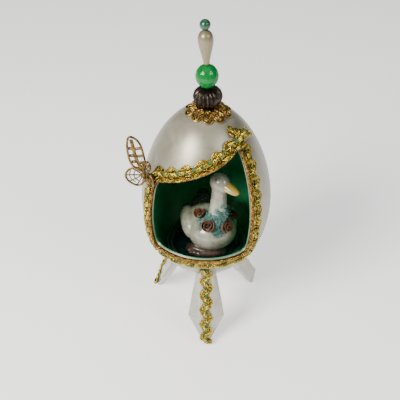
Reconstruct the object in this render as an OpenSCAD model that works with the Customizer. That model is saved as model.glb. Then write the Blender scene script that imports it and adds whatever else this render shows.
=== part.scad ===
// Display egg: a blown goose egg with a window, a small goose scene inside,
// braid trims, a beaded finial and three clear prism legs.
// Z is up, the three feet stand on Z = 0, and the window faces -Y.

/* [Egg] */
// Widest diameter of the eggshell
egg_w = 57; // [50:0.5:64]
// Height of the eggshell from blunt end to point
egg_h = 84.6; // [76:0.2:94]
// How much narrower the upper half is than the lower half
egg_point = 0.10; // [0.02:0.01:0.2]
// Thickness of the shell wall
shell_t = 0.9; // [0.6:0.1:1.5]
// Height of the shell's middle above the feet
egg_z = 69.5; // [60:0.5:80]
// Thickness of the green enamel inside the shell
lining_t = 0.4; // [0.3:0.1:0.8]
// Distance that the enamel stays back from the window's cut edge
lining_back = 0.4; // [0:0.1:1]

/* [Window] */
// Direction of the window's left side, degrees round from the front
win_left = -53.5; // [-65:0.5:-35]
// Direction of the window's lower right corner
win_right = 38.5; // [25:0.5:50]
// Direction of the window's pointed top right corner
win_apex = 44.5; // [32:0.5:56]
// Height of the sill, from the shell's middle
win_sill = -17.2; // [-22:0.2:-10]
// Height of the top left corner
win_shoulder = 16.2; // [8:0.2:22]
// Height of the pointed top right corner
win_top = 31; // [24:0.2:34]
// Size of the rounding at the shoulder corner
shoulder_round = 5; // [2:0.5:7]
// Size of the rounding at the two sill corners
sill_round = 3.2; // [1:0.2:6]

/* [Trims] */
// Diameter of the twisted cord that lines the window's cut edge
edge_cord_d = 1.9; // [1.2:0.1:2.6]
// Width of the woven braid
braid_w = 5.6; // [4:0.2:7]
// Thickness of the braid's metallic band
braid_t = 1.1; // [0.8:0.1:1.6]
// Diameter of the green cord that runs down the middle of the braid
core_d = 0.9; // [0.6:0.1:1.4]
// Gap that the glue fills under each trim
glue_gap = 0.12; // [0.08:0.02:0.3]

/* [Legs] */
// Length of each clear prism leg
leg_len = 38; // [32:0.5:44]
// Half width of a leg at its widest
leg_half_w = 8.3; // [6:0.1:10]
// Thickness of a leg, front to back
leg_thick = 6; // [4.5:0.1:8]
// Distance of the front foot from the egg's axis
front_foot_r = 27.8; // [24:0.2:32]
// Distance of the two rear feet from the egg's axis
rear_foot_r = 26.2; // [22:0.2:30]
// Lean of the front leg, degrees
front_tilt = 15.5; // [10:0.5:22]
// Lean of the rear legs, degrees
rear_tilt = 24; // [16:0.5:28]
// Turn of the right leg about its own length
right_twist = -30; // [-40:1:0]

/* [Floor and figurine] */
// Height of the floor disc's top, from the shell's middle
floor_z = -29.3; // [-32:0.1:-26]
// Thickness of the floor disc
floor_t = 2.7; // [2:0.1:4]
// Radius of the milled ring on the floor disc
ring_r = 16.4; // [13:0.1:17]
// Length of the oval ground under the goose
ground_l = 20; // [16:0.5:24]
// Depth of the oval ground
ground_w = 11; // [8:0.5:14]
// Height of the ground
ground_h = 2.8; // [2:0.1:4]
// Turn of the goose's body towards the right
body_turn = 12; // [0:1:25]
// Turn of the goose's head towards the right
head_turn = 50; // [20:1:65]
// Diameter of the rolled roses
rose_d = 6.2; // [4:0.1:8]

/* [Finial] */
// Offset of the finial from the egg's axis
finial_x = 0.8; // [0:0.1:1.5]
// Lean of the bead stack to the left, degrees
finial_lean = 2; // [0:0.5:4]
// Reach of the filigree cap from its middle
cap_r = 10.2; // [8:0.1:12]
// Number of petals round the cap
cap_petals = 10; // [8:1:14]
// Diameter of the fluted bead
fluted_d = 12; // [10:0.2:15]
// Height of the fluted bead
fluted_h = 7.8; // [6:0.1:10]
// Number of flutes
flutes = 20; // [14:1:26]
// Diameter of the faceted bead
faceted_d = 9; // [7:0.1:11]
// Height of the faceted bead
faceted_h = 10; // [8:0.1:12]
// Diameter of the drop bead's fat end
drop_d = 5.9; // [5:0.1:7.5]
// Length of the drop bead
drop_h = 14.4; // [11:0.1:18]
// Diameter of the small top bead
top_d = 3.9; // [3:0.1:5]
// Diameter of the wire pin through the beads
pin_d = 0.8; // [0.6:0.05:1]

/* [Butterfly] */
// Height of the butterfly's body above the shell's middle
fly_z = 17; // [12:0.5:24]
// Direction of the butterfly, degrees round from the front
fly_az = -66; // [-80:1:-60]
// Reach of the outer wings from the body
fly_span = 8.5; // [7:0.1:12]
// Height of the tall upper wing
fly_rise = 16.5; // [12:0.5:20]

/* [Hidden] */
$fn = 96;

mm_per_deg = egg_w / 2 * PI / 180;
braid_lift = glue_gap + braid_w * braid_w / (3 * egg_w);   // clears the shell's curve
win_c = [0, 0, 3];                       // point that the window's cut aims at
bore_d = pin_d + 0.1;
pin_hole_d = pin_d + 0.5;
floor_r = egg_r(floor_z - floor_t, shell_t + lining_t) - 0.45;
fly_r = egg_r(fly_z) + braid_lift + braid_t + core_d + 0.9;
fly_x = fly_r * sin(fly_az);
fly_y = -fly_r * cos(fly_az);
// Shift that puts the middle of the whole outline on the Z axis: the butterfly's wing reaches
// furthest to the left, and the braid on the front foot furthest to the front
axis_x = (fly_span - fly_x - egg_w / 2) / 2;
axis_y = (front_foot_r + leg_thick * 0.16 + braid_t + core_d - egg_w / 2) / 2;

FRONT = 0;
LEFT = 1;
RIGHT = 2;
leg_az = [0, -114, 118];
leg_foot = [front_foot_r, rear_foot_r, rear_foot_r];
leg_tilt = [front_tilt, rear_tilt, rear_tilt];
leg_twist = [0, 0, right_twist];
// Stations of a leg from top to tip: share of length, half width, half table, half thickness
leg_stations = [
    [0, leg_half_w * 0.53, leg_half_w * 0.26, leg_thick * 0.40],
    [0.34, leg_half_w * 0.81, leg_half_w * 0.30, leg_thick * 0.50],
    [0.60, leg_half_w, leg_half_w * 0.30, leg_thick * 0.50],
    [1.0, leg_half_w * 0.15, leg_half_w * 0.08, leg_thick * 0.16],
    [1.03, leg_half_w * 0.12, leg_half_w * 0.06, leg_thick * 0.13]];

// ---------- vectors ----------
function unit(v) = v / norm(v);
function lerp(a, b, t) = a + (b - a) * t;
function between(a, b, n) = [for (i = [1 : n - 1]) lerp(a, b, i / n)];

// ---------- egg surface, heights measured from the shell's middle ----------
function egg_r(z, inset = 0) =
    let (t = z / (egg_h / 2 - inset))
    abs(t) >= 1 ? 0 :
    (egg_w / 2 - inset) * sqrt(1 - t * t) * (1 - egg_point * t) / (1 + egg_point * egg_point / 2);
function egg_slope(z) = (egg_r(z + 0.01) - egg_r(z - 0.01)) / 0.02;
function egg_normal(az, z) = unit([sin(az), -cos(az), -egg_slope(z)]);
function on_egg(az, z, lift = 0) =
    [egg_r(z) * sin(az), -egg_r(z) * cos(az), z] + lift * egg_normal(az, z);
function az_of(p) = atan2(p[0], -p[1]);

// Half outline of the egg from its blunt end up to its point, inset from the surface
profile_step = 5;
profile_n = 180 / profile_step;
function egg_profile(inset) =
    let (a = egg_w / 2 - inset, b = egg_h / 2 - inset, n = 1 + egg_point * egg_point / 2)
    [for (i = [0 : profile_n]) let (w = i * profile_step - 90)
        [i % profile_n == 0 ? 0 : a * cos(w) * (1 - egg_point * sin(w)) / n, b * sin(w)]];

module egg_solid(inset) {
    rotate_extrude() polygon(egg_profile(inset));
}
// The wall between two insets
module egg_wall(outer, inner) {
    far = egg_profile(outer);
    near = egg_profile(inner);
    rotate_extrude() polygon(concat(far, [for (i = [profile_n : -1 : 0]) near[i]]));
}

// ---------- window outline: [degrees round, height], from the apex round to the apex ----------
function corner(p, a, b, size, n = 4) =
    let (k = [mm_per_deg, 1],
         ea = [(a[0] - p[0]) * k[0], (a[1] - p[1]) * k[1]],
         eb = [(b[0] - p[0]) * k[0], (b[1] - p[1]) * k[1]],
         ua = unit(ea) * size,
         ub = unit(eb) * size)
    [for (i = [0 : n]) let (t = i / n, q = ua * (1 - t) * (1 - t) + ub * t * t)
        [p[0] + q[0] / k[0], p[1] + q[1] / k[1]]];
win_corners = [[win_apex, win_top], [win_right, win_sill], [win_left, win_sill], [win_left, win_shoulder]];
function win_outline() =
    let (c = win_corners,
         se = corner(c[1], c[0], c[2], sill_round),
         sw = corner(c[2], c[1], c[3], sill_round),
         nw = corner(c[3], c[2], c[0], shoulder_round))
    concat([c[0]], between(c[0], se[0], 12), se, between(se[4], sw[0], 13), sw,
           between(sw[4], nw[0], 8), nw, between(nw[4], c[0], 14), [lerp(nw[4], c[0], 0.98)]);
outline = win_outline();
last = len(outline) - 1;

// Direction along the outline and the direction away from the window, at point i
function along(i) =
    let (a = outline[max(i - 1, 0)], b = outline[min(i + 1, last)])
    unit(on_egg(b[0], b[1]) - on_egg(a[0], a[1]));
function away(i) = unit(cross(egg_normal(outline[i][0], outline[i][1]), along(i)));
// Point i of the outline moved away from the window by d, as [degrees, height]
function moved(i, d) =
    let (p = on_egg(outline[i][0], outline[i][1]) + away(i) * d)
    [az_of(p), p[2]];
function route(d, from = 0, to = last) = [for (i = [from : to]) moved(i, d)];

// ---------- sweeps ----------
// Joins rings of points into a closed skin. Each ring has the same number of points.
module skin(rings, loop = false) {
    n = len(rings);
    m = len(rings[0]);
    walls = [for (i = [0 : (loop ? n - 1 : n - 2)], j = [0 : m - 1], k = [0, 1])
        let (a = i * m + j, b = i * m + (j + 1) % m,
             c = ((i + 1) % n) * m + (j + 1) % m, d = ((i + 1) % n) * m + j)
        k == 0 ? [a, b, c] : [a, c, d]];
    ends = loop ? [] : [[for (j = [m - 1 : -1 : 0]) j], [for (j = [0 : m - 1]) (n - 1) * m + j]];
    polyhedron(points = [for (r = rings) for (p = r) p], faces = concat(walls, ends));
}
// A ring of a section [[side, out], ...] about point p, with tangent t and outward normal n
function ring(p, t, n, section) =
    let (s = unit(cross(t, n)), o = unit(cross(s, t)))
    [for (q = section) p + s * q[0] + o * q[1]];
function tangent(pts, i) =
    unit(pts[min(i + 1, len(pts) - 1)] - pts[max(i - 1, 0)]);
module strip(pts, normals, section) {
    skin([for (i = [0 : len(pts) - 1]) ring(pts[i], tangent(pts, i), normals[i], section)]);
}
function round_section(d, sides) =
    [for (j = [0 : sides - 1]) [cos(j * 360 / sides), sin(j * 360 / sides)] * d / 2];
band_section = [[braid_w / 2, 0], [braid_w / 2, braid_t * 0.6], [braid_w * 0.35, braid_t],
                [-braid_w * 0.35, braid_t], [-braid_w / 2, braid_t * 0.6], [-braid_w / 2, 0]];
core_lift = braid_t + core_d / 2 + 0.12;

// ---------- braid round the window, with its two ends crossed above the apex ----------
braid_off = edge_cord_d + braid_w / 2 + 0.5;
braid_skip = 2;
// Ends of the braid, as [degrees, height] from the window's apex
end_to_left = [[-4, 7.4], [2, 6.2], [8, 4.4], [12, 1.6]];
end_to_right = [[12, 2.4], [18, 2.9], [24, 3.1]];
end_climb = [1.6, 2.5, 2.5];
braid_route = concat(
    [for (e = end_to_left) [win_apex, win_top] + e],
    route(braid_off, braid_skip, last - braid_skip),
    [for (e = end_to_right) [win_apex, win_top] + e]);
braid_n = len(braid_route);
function braid_climb(i) =
    let (k = i - (braid_n - len(end_to_right)))
    k >= 0 ? end_climb[k] : k == -1 ? 0.8 : 0;
braid_line = [for (i = [0 : braid_n - 1])
    on_egg(braid_route[i][0], braid_route[i][1], braid_lift + braid_climb(i))];
braid_normals = [for (q = braid_route) egg_normal(q[0], q[1])];

// ---------- legs: s runs from 0 at the top to 1 at the tip ----------
function leg_out(i) = [sin(leg_az[i]), -cos(leg_az[i]), 0];
function leg_down(i) = leg_out(i) * sin(leg_tilt[i]) - [0, 0, cos(leg_tilt[i])];
function leg_face0(i) = leg_out(i) * cos(leg_tilt[i]) + [0, 0, sin(leg_tilt[i])];
function leg_side0(i) = [cos(leg_az[i]), sin(leg_az[i]), 0];
function leg_side(i) = leg_side0(i) * cos(leg_twist[i]) + leg_face0(i) * sin(leg_twist[i]);
function leg_face(i) = leg_face0(i) * cos(leg_twist[i]) - leg_side0(i) * sin(leg_twist[i]);
function leg_at(i, s, side = 0, out = 0) =
    leg_out(i) * leg_foot[i] - [0, 0, egg_z] - leg_down(i) * leg_len * (1 - s)
    + leg_side(i) * side + leg_face(i) * out;
function leg_ring(i, k) =
    let (q = leg_stations[k], s = q[0], w = q[1], t = q[2], h = q[3])
    [leg_at(i, s, w, 0), leg_at(i, s, t, h), leg_at(i, s, -t, h),
     leg_at(i, s, -w, 0), leg_at(i, s, -t, -h), leg_at(i, s, t, -h)];
// Braid of a leg, down its table. The front one starts higher, on the shell below the window braid.
leg_braid_top = [-25.5, -29];
leg_braid_s = [0.14, 0.34, 0.48, 0.60, 0.80, 0.96];
function table_h(s) = lookup(s, [for (q = leg_stations) [q[0], q[3]]]);
function on_shell(i) = i == FRONT ? leg_braid_top : [];
function leg_line(i, lift) = concat(
    [for (z = on_shell(i)) on_egg(leg_az[i], z, braid_lift + lift)],
    [for (s = leg_braid_s) leg_at(i, s, 0, table_h(s) + glue_gap + lift)]);
function leg_normals(i) = concat(
    [for (z = on_shell(i)) egg_normal(leg_az[i], z)], [for (s = leg_braid_s) leg_face(i)]);

// ---------- goose: heights from the floor disc's top ----------
goose_pos = [0.4, -7.8, floor_z];
chest_r = 9.8;
chest_z = ground_h + chest_r + 0.15;
chest_y = -1.2;
body_pos = [1.6, 1.5, 0];
neck_pos = [4.6, -2.6, 0];
bib = [[0, -8.3, 21.2], [8.6, -7.4, 20], [2.6, -8.8, 17.6]];
head_c = [5.1, -2.7, 41.6];
head_r = 4.5;
bill_len = 10.4;

// ================= pieces =================
module placed() {
    translate([axis_x, axis_y, egg_z]) children();
}

module window_cutter(grow) {
    pts = [for (i = [0 : last]) let (q = moved(i, grow)) on_egg(q[0], q[1])];
    n = len(pts);
    far = win_c + [0, -egg_w * 1.1, 0];
    polyhedron(
        points = concat([for (p = pts) win_c + (p - win_c) * 1.25], [win_c, far]),
        faces = concat([for (i = [0 : n - 1]) [(i + 1) % n, i, n]],
                       [for (i = [0 : n - 1]) [i, (i + 1) % n, n + 1]]));
}

module finial_frame() {
    translate([finial_x, 0, egg_h / 2]) rotate([0, -finial_lean, 0]) children();
}

module egg_shell() {
    color("ivory") placed() difference() {
        egg_wall(0, shell_t);
        window_cutter(0);
        finial_frame() translate([0, 0, -4]) cylinder(d = pin_hole_d, h = 8);
    }
}

module green_lining() {
    color("darkgreen") placed() difference() {
        egg_wall(shell_t + 0.03, shell_t + lining_t);
        window_cutter(lining_back);
        finial_frame() translate([0, 0, -4]) cylinder(d = pin_hole_d, h = 8);
    }
}

module floor_disc() {
    color("darkslategray") placed() translate([0, 0, floor_z - floor_t]) rotate_extrude()
        polygon([[0, 0], [floor_r, 0], [floor_r + 0.5, 0.6], [floor_r + 0.5, floor_t], [0, floor_t]]);
}

module pond_disc() {
    color("midnightblue") placed() translate([0, 0, floor_z + 0.05])
        cylinder(r = ring_r - 1.2, h = 0.35);
}

module milled_ring() {
    color("seagreen") placed() translate([0, 0, floor_z + 0.05]) rotate_extrude()
        polygon([[ring_r - 1.1, 0], [ring_r + 1.1, 0], [ring_r + 1.1, 0.4],
                 [ring_r, 0.7], [ring_r - 1.1, 0.55]]);
}

module goose_ground() {
    color("sienna") placed() translate(goose_pos) translate([0, 0, 0.45])
        hull() for (x = [-1, 1]) translate([x * (ground_l - ground_w) / 2, 0, 0]) {
            cylinder(d = ground_w, h = (ground_h - 0.45) * 0.6, $fn = 32);
            cylinder(d = ground_w - 1.6, h = ground_h - 0.45, $fn = 32);
        }
}

module goose_body(grow = 0) {
    translate(body_pos) rotate([0, 0, body_turn]) hull() {
        for (x = [-2.4, 2.4]) {
            translate([x, chest_y - 3, chest_z]) sphere(r = chest_r + grow, $fn = 24);
            translate([x, 4.5, chest_z + 0.6]) sphere(r = chest_r - 1 + grow, $fn = 20);
        }
        translate([0, 16.5, chest_z + 6.5]) sphere(r = 2 + grow, $fn = 16);
    }
}

module goose_neck(grow = 0) {
    hull() {
        translate(neck_pos + [0, 0, chest_z + 7]) sphere(r = 5 + grow, $fn = 24);
        translate(neck_pos + [0, 0, 29]) sphere(r = 3.4 + grow, $fn = 24);
    }
    hull() {
        translate(neck_pos + [0, 0, 29]) sphere(r = 3.4 + grow, $fn = 24);
        translate(neck_pos + [0.3, 0, 38]) sphere(r = 3.4 + grow, $fn = 24);
    }
}

module goose() {
    color("ghostwhite") placed() translate(goose_pos) {
        goose_body();
        goose_neck();
        translate(head_c) rotate([0, 0, head_turn]) {
            hull() {
                sphere(r = head_r, $fn = 24);
                translate([0, -2, -0.8]) sphere(r = head_r - 0.9, $fn = 20);
            }
            hull() {
                translate([0, -3.4, -0.4]) sphere(r = 2.3, $fn = 16);
                for (x = [-1.1, 1.1])
                    translate([x, 1.3 - bill_len, -1.2]) sphere(r = 1.1, $fn = 12);
            }
        }
    }
}

// Ring of moss round the neck, with a bib that hangs down the breast under the roses
module moss(grow = 0) {
    translate(neck_pos + [0, -0.6, chest_z + 8.6]) rotate([24, 0, body_turn])
        rotate_extrude($fn = 48) translate([6.1, 0]) circle(r = 1.8 + grow, $fn = 16);
    hull() {
        for (p = bib) translate(p) sphere(r = 1.5 + grow, $fn = 16);
    }
}
module moss_collar() {
    color("cadetblue") placed() translate(goose_pos) difference() {
        moss();
        goose_body(glue_gap);
        goose_neck(glue_gap);
    }
}

// A rolled rose that faces along the direction turn, lift from the chest's middle
module rose(turn, lift, reach, d) {
    color("saddlebrown") placed() translate(goose_pos) difference() {
        translate(body_pos + [0, 0, chest_z])
            rotate([0, 0, turn]) rotate([-lift, 0, 0]) translate([0, -reach, 0]) rotate([90, 0, 0])
                rotate_extrude($fn = 48)
                    polygon([[0, 0], [d * 0.32, 0], [d * 0.5, 1.9], [d * 0.42, 2.9],
                             [d * 0.30, 2.4], [d * 0.12, 2.9], [0, 2.5]]);
        moss(glue_gap);
        goose_body(glue_gap);
        goose_neck(glue_gap);
    }
}
module rose_breast_left() { rose(-9, 43, 13.3, rose_d); }
module rose_breast_right() { rose(38, 35, 13.5, rose_d * 0.94); }
module rose_left() { rose(-59, 61, 11.8, rose_d * 0.8); }
module rose_right() { rose(81, 39, 12.2, rose_d * 0.8); }

module edge_cord() {
    line = route(edge_cord_d / 2 + 0.15, 1, last - 1);
    pts = [for (q = line) on_egg(q[0], q[1], edge_cord_d / 2 + glue_gap)];
    normals = [for (q = line) egg_normal(q[0], q[1])];
    color("darkgoldenrod") placed() strip(pts, normals, round_section(edge_cord_d, 6));
}

module window_braid() {
    color("goldenrod") placed() strip(braid_line, braid_normals, band_section);
}

module window_braid_core() {
    pts = [for (i = [0 : braid_n - 1]) braid_line[i] + braid_normals[i] * core_lift];
    color("green") placed() strip(pts, braid_normals, round_section(core_d, 5));
}

module leg(i) {
    color("lightcyan") placed() difference() {
        skin([for (k = [0 : len(leg_stations) - 1]) leg_ring(i, k)]);
        egg_solid(-glue_gap);
        translate([-100, -100, -egg_z - 20]) cube([200, 200, 20]);
    }
}
module leg_front() { leg(FRONT); }
module leg_left() { leg(LEFT); }
module leg_right() { leg(RIGHT); }

module leg_braid(i) {
    color("goldenrod") placed() strip(leg_line(i, 0), leg_normals(i), band_section);
}
module leg_braid_front() { leg_braid(FRONT); }
module leg_braid_left() { leg_braid(LEFT); }
module leg_braid_right() { leg_braid(RIGHT); }

module leg_core(i) {
    color("green") placed() strip(leg_line(i, core_lift), leg_normals(i), round_section(core_d, 6));
}
module leg_core_front() { leg_core(FRONT); }
module leg_core_left() { leg_core(LEFT); }
module leg_core_right() { leg_core(RIGHT); }

// ---------- finial ----------
petal_r = cap_r * 0.25;
module bead_cap() {
    color("gold") placed() difference() {
        intersection() {
            egg_wall(-0.55, -0.1);
            translate([finial_x, 0, 0]) linear_extrude(egg_h) union() {
                circle(r = cap_r - petal_r * 1.2);
                for (i = [0 : cap_petals - 1]) rotate(i * 360 / cap_petals)
                    translate([0, petal_r - cap_r]) circle(r = petal_r, $fn = 48);
            }
        }
        for (i = [0 : cap_petals - 1]) translate([finial_x, 0, 0]) rotate(i * 360 / cap_petals)
            translate([0, petal_r - cap_r, 0]) cylinder(r = petal_r * 0.45, h = egg_h, $fn = 48);
        finial_frame() translate([0, 0, -8]) cylinder(d = pin_hole_d, h = 12);
    }
}

fluted_z = 0.75;
faceted_z = fluted_z + fluted_h + 0.1;
drop_z = faceted_z + faceted_h + 0.1;
top_z = drop_z + drop_h + 0.1;
module bored(z) {
    placed() finial_frame() translate([0, 0, z]) difference() {
        children();
        translate([0, 0, -1]) cylinder(d = bore_d, h = 30);
    }
}

module fluted_bead() {
    r = fluted_d / 2;
    color("dimgray") bored(fluted_z) difference() {
        rotate_extrude() polygon(concat([[0, 0]],
            [for (w = [-70 : 10 : 70])
                [r * pow(cos(w), 0.7), fluted_h / 2 + fluted_h / 2 * sin(w) / sin(70)]],
            [[0, fluted_h]]));
        for (i = [0 : flutes - 1]) rotate(i * 360 / flutes) translate([r + 0.25, 0, -1])
            cylinder(d = 1.1, h = fluted_h + 2, $fn = 24);
    }
}

// Rings of a cut bead: [share of radius, share of height, half-step turn]
facet_rings = [[0.42, 0, 0], [0.82, 0.17, 1], [1, 0.40, 0], [1, 0.60, 1], [0.82, 0.83, 0], [0.42, 1, 1]];
facet_sides = 8;
module faceted_bead() {
    color("limegreen", 0.6) bored(faceted_z)
        skin([for (q = facet_rings) [for (j = [0 : facet_sides - 1])
            let (w = (j + q[2] / 2) * 360 / facet_sides)
            [q[0] * cos(w) * faceted_d / 2, q[0] * sin(w) * faceted_d / 2, q[1] * faceted_h]]]);
}

module drop_bead() {
    r = drop_d / 2;
    color("wheat") bored(drop_z) rotate_extrude()
        polygon(concat([[0, 0], [1.15, 0], [1.25, 0.5], [1.35, drop_h * 0.3], [1.9, drop_h * 0.5]],
            [for (w = [-20 : 20 : 60]) [r * cos(w), drop_h - r * 1.25 + r * 1.25 * sin(w)]],
            [[0.8, drop_h], [0, drop_h]]));
}

module top_bead() {
    color("darkgreen") placed() finial_frame() translate([0, 0, top_z + top_d / 2]) difference() {
        sphere(d = top_d);
        translate([0, 0, -top_d]) cylinder(d = bore_d, h = top_d * 1.3);
    }
}

pin_low = -6;
pin_high = top_z + top_d * 0.7;
module finial_pin() {
    color("silver") placed() finial_frame() translate([0, 0, pin_low])
        cylinder(d = pin_d, h = pin_high - pin_low);
}

module pin_glue() {
    color("khaki") placed() difference() {
        intersection() {
            finial_frame() translate([0, 0, -3.5]) sphere(r = 3.2);
            egg_solid(shell_t + lining_t + 0.05);
        }
        finial_frame() translate([0, 0, -20]) cylinder(d = pin_d + 0.06, h = 30);
    }
}

// ---------- butterfly: X away from the body, Y up, plate in the XY plane ----------
plate_t = 0.5;
module upper_wing() {
    linear_extrude(plate_t) difference() {
        hull() {
            translate([1.2, 1]) circle(r = 1, $fn = 24);
            translate([fly_span * 0.62, fly_rise - 2.6]) circle(r = 2.6, $fn = 32);
            translate([fly_span * 0.42, fly_rise * 0.55]) circle(r = 3, $fn = 32);
        }
        for (k = [[0.68, 0.78, 1.1], [0.42, 0.80, 0.8], [0.55, 0.55, 1.0],
                  [0.28, 0.52, 0.9], [0.36, 0.30, 0.7]])
            translate([k[0] * fly_span, k[1] * fly_rise]) circle(r = k[2], $fn = 24);
    }
}
module lower_wing() {
    linear_extrude(plate_t) difference() {
        hull() {
            translate([1.2, -1]) circle(r = 1, $fn = 24);
            translate([fly_span - 3.6, -2.6]) circle(r = 3.6, $fn = 32);
            translate([fly_span * 0.45, -5.5]) circle(r = 3, $fn = 32);
        }
        for (k = [[0.78, -2.2, 1.1], [0.60, -4.6, 1.0], [0.42, -6.2, 0.9], [0.42, -2.6, 0.8]])
            translate([k[0] * fly_span, k[1]]) circle(r = k[2], $fn = 24);
    }
}
module folded_wing() {
    linear_extrude(plate_t) difference() {
        hull() {
            translate([1.4, 0.5]) circle(r = 1.6, $fn = 24);
            translate([5.2, -2.6]) circle(r = 3.4, $fn = 32);
        }
        translate([5.6, -1.4]) circle(r = 0.9, $fn = 24);
        translate([4.2, -3.8]) circle(r = 0.9, $fn = 24);
    }
}
module butterfly() {
    color("peru") placed() translate([fly_x, fly_y, fly_z]) {
        translate([0, 0, -4]) cylinder(d = 1.4, h = 9, $fn = 32);
        mirror([1, 0, 0]) rotate([90, 0, 0]) translate([0, 0, -plate_t / 2]) {
            upper_wing();
            lower_wing();
        }
        rotate([0, 0, fly_az + 9]) rotate([90, 0, 0]) translate([0.2, 0, 0.1]) folded_wing();
    }
}

egg_shell();
green_lining();
floor_disc();
milled_ring();
pond_disc();
goose();
goose_ground();
moss_collar();
rose_left();
rose_breast_left();
rose_breast_right();
rose_right();
edge_cord();
window_braid();
window_braid_core();
butterfly();
bead_cap();
fluted_bead();
faceted_bead();
drop_bead();
top_bead();
finial_pin();
pin_glue();
leg_front();
leg_left();
leg_right();
leg_braid_front();
leg_braid_left();
leg_braid_right();
leg_core_front();
leg_core_left();
leg_core_right();
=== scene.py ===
"""A display egg: pearl-lacquered goose egg with a window, a goose scene inside, gimp trims,
a beaded finial, a filigree butterfly and three clear prism legs."""

import math
import random

import bpy
import numpy as np
from mathutils import Matrix, Vector

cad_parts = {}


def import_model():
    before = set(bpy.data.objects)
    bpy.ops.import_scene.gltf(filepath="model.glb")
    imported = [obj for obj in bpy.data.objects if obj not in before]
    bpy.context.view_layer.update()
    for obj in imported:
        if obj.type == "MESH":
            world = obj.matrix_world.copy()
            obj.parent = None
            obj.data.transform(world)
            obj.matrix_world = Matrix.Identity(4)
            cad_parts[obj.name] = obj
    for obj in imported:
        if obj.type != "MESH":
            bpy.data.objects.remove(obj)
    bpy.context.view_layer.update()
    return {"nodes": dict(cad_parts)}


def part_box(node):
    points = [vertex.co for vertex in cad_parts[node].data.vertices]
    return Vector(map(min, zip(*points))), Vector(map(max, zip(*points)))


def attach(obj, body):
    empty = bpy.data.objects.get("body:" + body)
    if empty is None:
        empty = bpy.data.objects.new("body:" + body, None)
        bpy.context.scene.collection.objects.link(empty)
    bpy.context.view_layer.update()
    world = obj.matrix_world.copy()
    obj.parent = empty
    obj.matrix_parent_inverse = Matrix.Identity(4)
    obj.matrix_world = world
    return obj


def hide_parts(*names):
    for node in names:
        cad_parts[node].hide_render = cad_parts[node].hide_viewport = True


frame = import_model()
random.seed(7)
MM = 0.001                        # sizes below are millimetres, Blender's are metres
DOUBLES = 1e-6                    # points this near, in metres, are one point


# ---------------------------------------------------------------- places taken from the frame
def centre(node):
    low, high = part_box(node)
    return (Vector(low) + Vector(high)) / 2


def low_of(node):
    return Vector(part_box(node)[0])


def high_of(node):
    return Vector(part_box(node)[1])


AXIS = centre("floor_disc")                       # the egg's axis runs through the floor disc
EGG_C = Vector((AXIS.x, AXIS.y, centre("egg_shell").z))
EGG_A = (high_of("egg_shell").y - AXIS.y) / MM    # widest radius, mm
EGG_B = (high_of("egg_shell").z - low_of("egg_shell").z) / 2 / MM
EGG_POINT = 0.10                  # how much narrower the upper half is
SHELL_T, LINING_T = 0.45, 0.45


def world(p):
    """Millimetres from the egg's middle to metres in the frame."""
    return EGG_C + Vector(p) * MM


# ---------------------------------------------------------------- egg surface
def egg_r(z):
    """The egg's radius at a height above its middle."""
    t = z / EGG_B
    if abs(t) >= 1:
        return 0.0
    return EGG_A * math.sqrt(1 - t * t) * (1 - EGG_POINT * t) / (1 + EGG_POINT ** 2 / 2)


def egg_normal(az, z):
    slope = (egg_r(z + 0.01) - egg_r(z - 0.01)) / 0.02
    a = math.radians(az)
    return Vector((math.sin(a), -math.cos(a), -slope)).normalized()


def on_egg(az, z, lift=0.0):
    a, r = math.radians(az), egg_r(z)
    return Vector((r * math.sin(a), -r * math.cos(a), z)) + egg_normal(az, z) * lift


# ---------------------------------------------------------------- window outline, (degrees, height)
WIN_LEFT, WIN_RIGHT, WIN_APEX = -53.5, 38.5, 44.5
WIN_SILL, WIN_SHOULDER, WIN_TOP = -17.2, 16.2, 31.0
SHOULDER_ROUND, SILL_ROUND = 5.0, 3.2
RIGHT_STEPS, SILL_STEPS, LEFT_STEPS, TOP_STEPS = 30, 34, 20, 36
MM_PER_DEG = EGG_A * math.pi / 180


def corner(p, a, b, size, n=6):
    """Points of the rounding at p, between its neighbours a and b."""
    def towards(q):
        v = Vector(((q[0] - p[0]) * MM_PER_DEG, q[1] - p[1])).normalized() * size
        return Vector((v.x / MM_PER_DEG, v.y))
    ua, ub = towards(a), towards(b)
    return [Vector(p) + ua * (1 - i / n) ** 2 + ub * (i / n) ** 2 for i in range(n + 1)]


def between(a, b, n):
    return [Vector(a).lerp(Vector(b), i / n) for i in range(1, n)]


def window_outline():
    c = [(WIN_APEX, WIN_TOP), (WIN_RIGHT, WIN_SILL), (WIN_LEFT, WIN_SILL), (WIN_LEFT, WIN_SHOULDER)]
    se = corner(c[1], c[0], c[2], SILL_ROUND)
    sw = corner(c[2], c[1], c[3], SILL_ROUND)
    nw = corner(c[3], c[2], c[0], SHOULDER_ROUND)
    return ([Vector(c[0])] + between(c[0], se[0], RIGHT_STEPS) + se
            + between(se[-1], sw[0], SILL_STEPS) + sw + between(sw[-1], nw[0], LEFT_STEPS) + nw
            + between(nw[-1], c[0], TOP_STEPS) + [Vector(nw[-1]).lerp(Vector(c[0]), 0.99)])


OUTLINE = window_outline()


def moved(i, d):
    """Point i of the outline, moved away from the window by d, as (degrees, height)."""
    a, b = OUTLINE[max(i - 1, 0)], OUTLINE[min(i + 1, len(OUTLINE) - 1)]
    along = (on_egg(*b) - on_egg(*a)).normalized()
    q = OUTLINE[i]
    p = on_egg(*q) + egg_normal(*q).cross(along).normalized() * d
    return Vector((math.degrees(math.atan2(p.x, -p.y)), p.z))


def route(d):
    return [moved(i, d) for i in range(len(OUTLINE))]


# ---------------------------------------------------------------- mesh helpers
def clear():
    if bpy.context.mode != "OBJECT":
        bpy.ops.object.mode_set(mode="OBJECT")
    bpy.ops.object.select_all(action="DESELECT")


def only(obj):
    clear()
    obj.select_set(True)
    bpy.context.view_layer.objects.active = obj


def named(name):
    obj = bpy.context.active_object
    obj.name = name
    obj.data.name = name
    return obj


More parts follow.
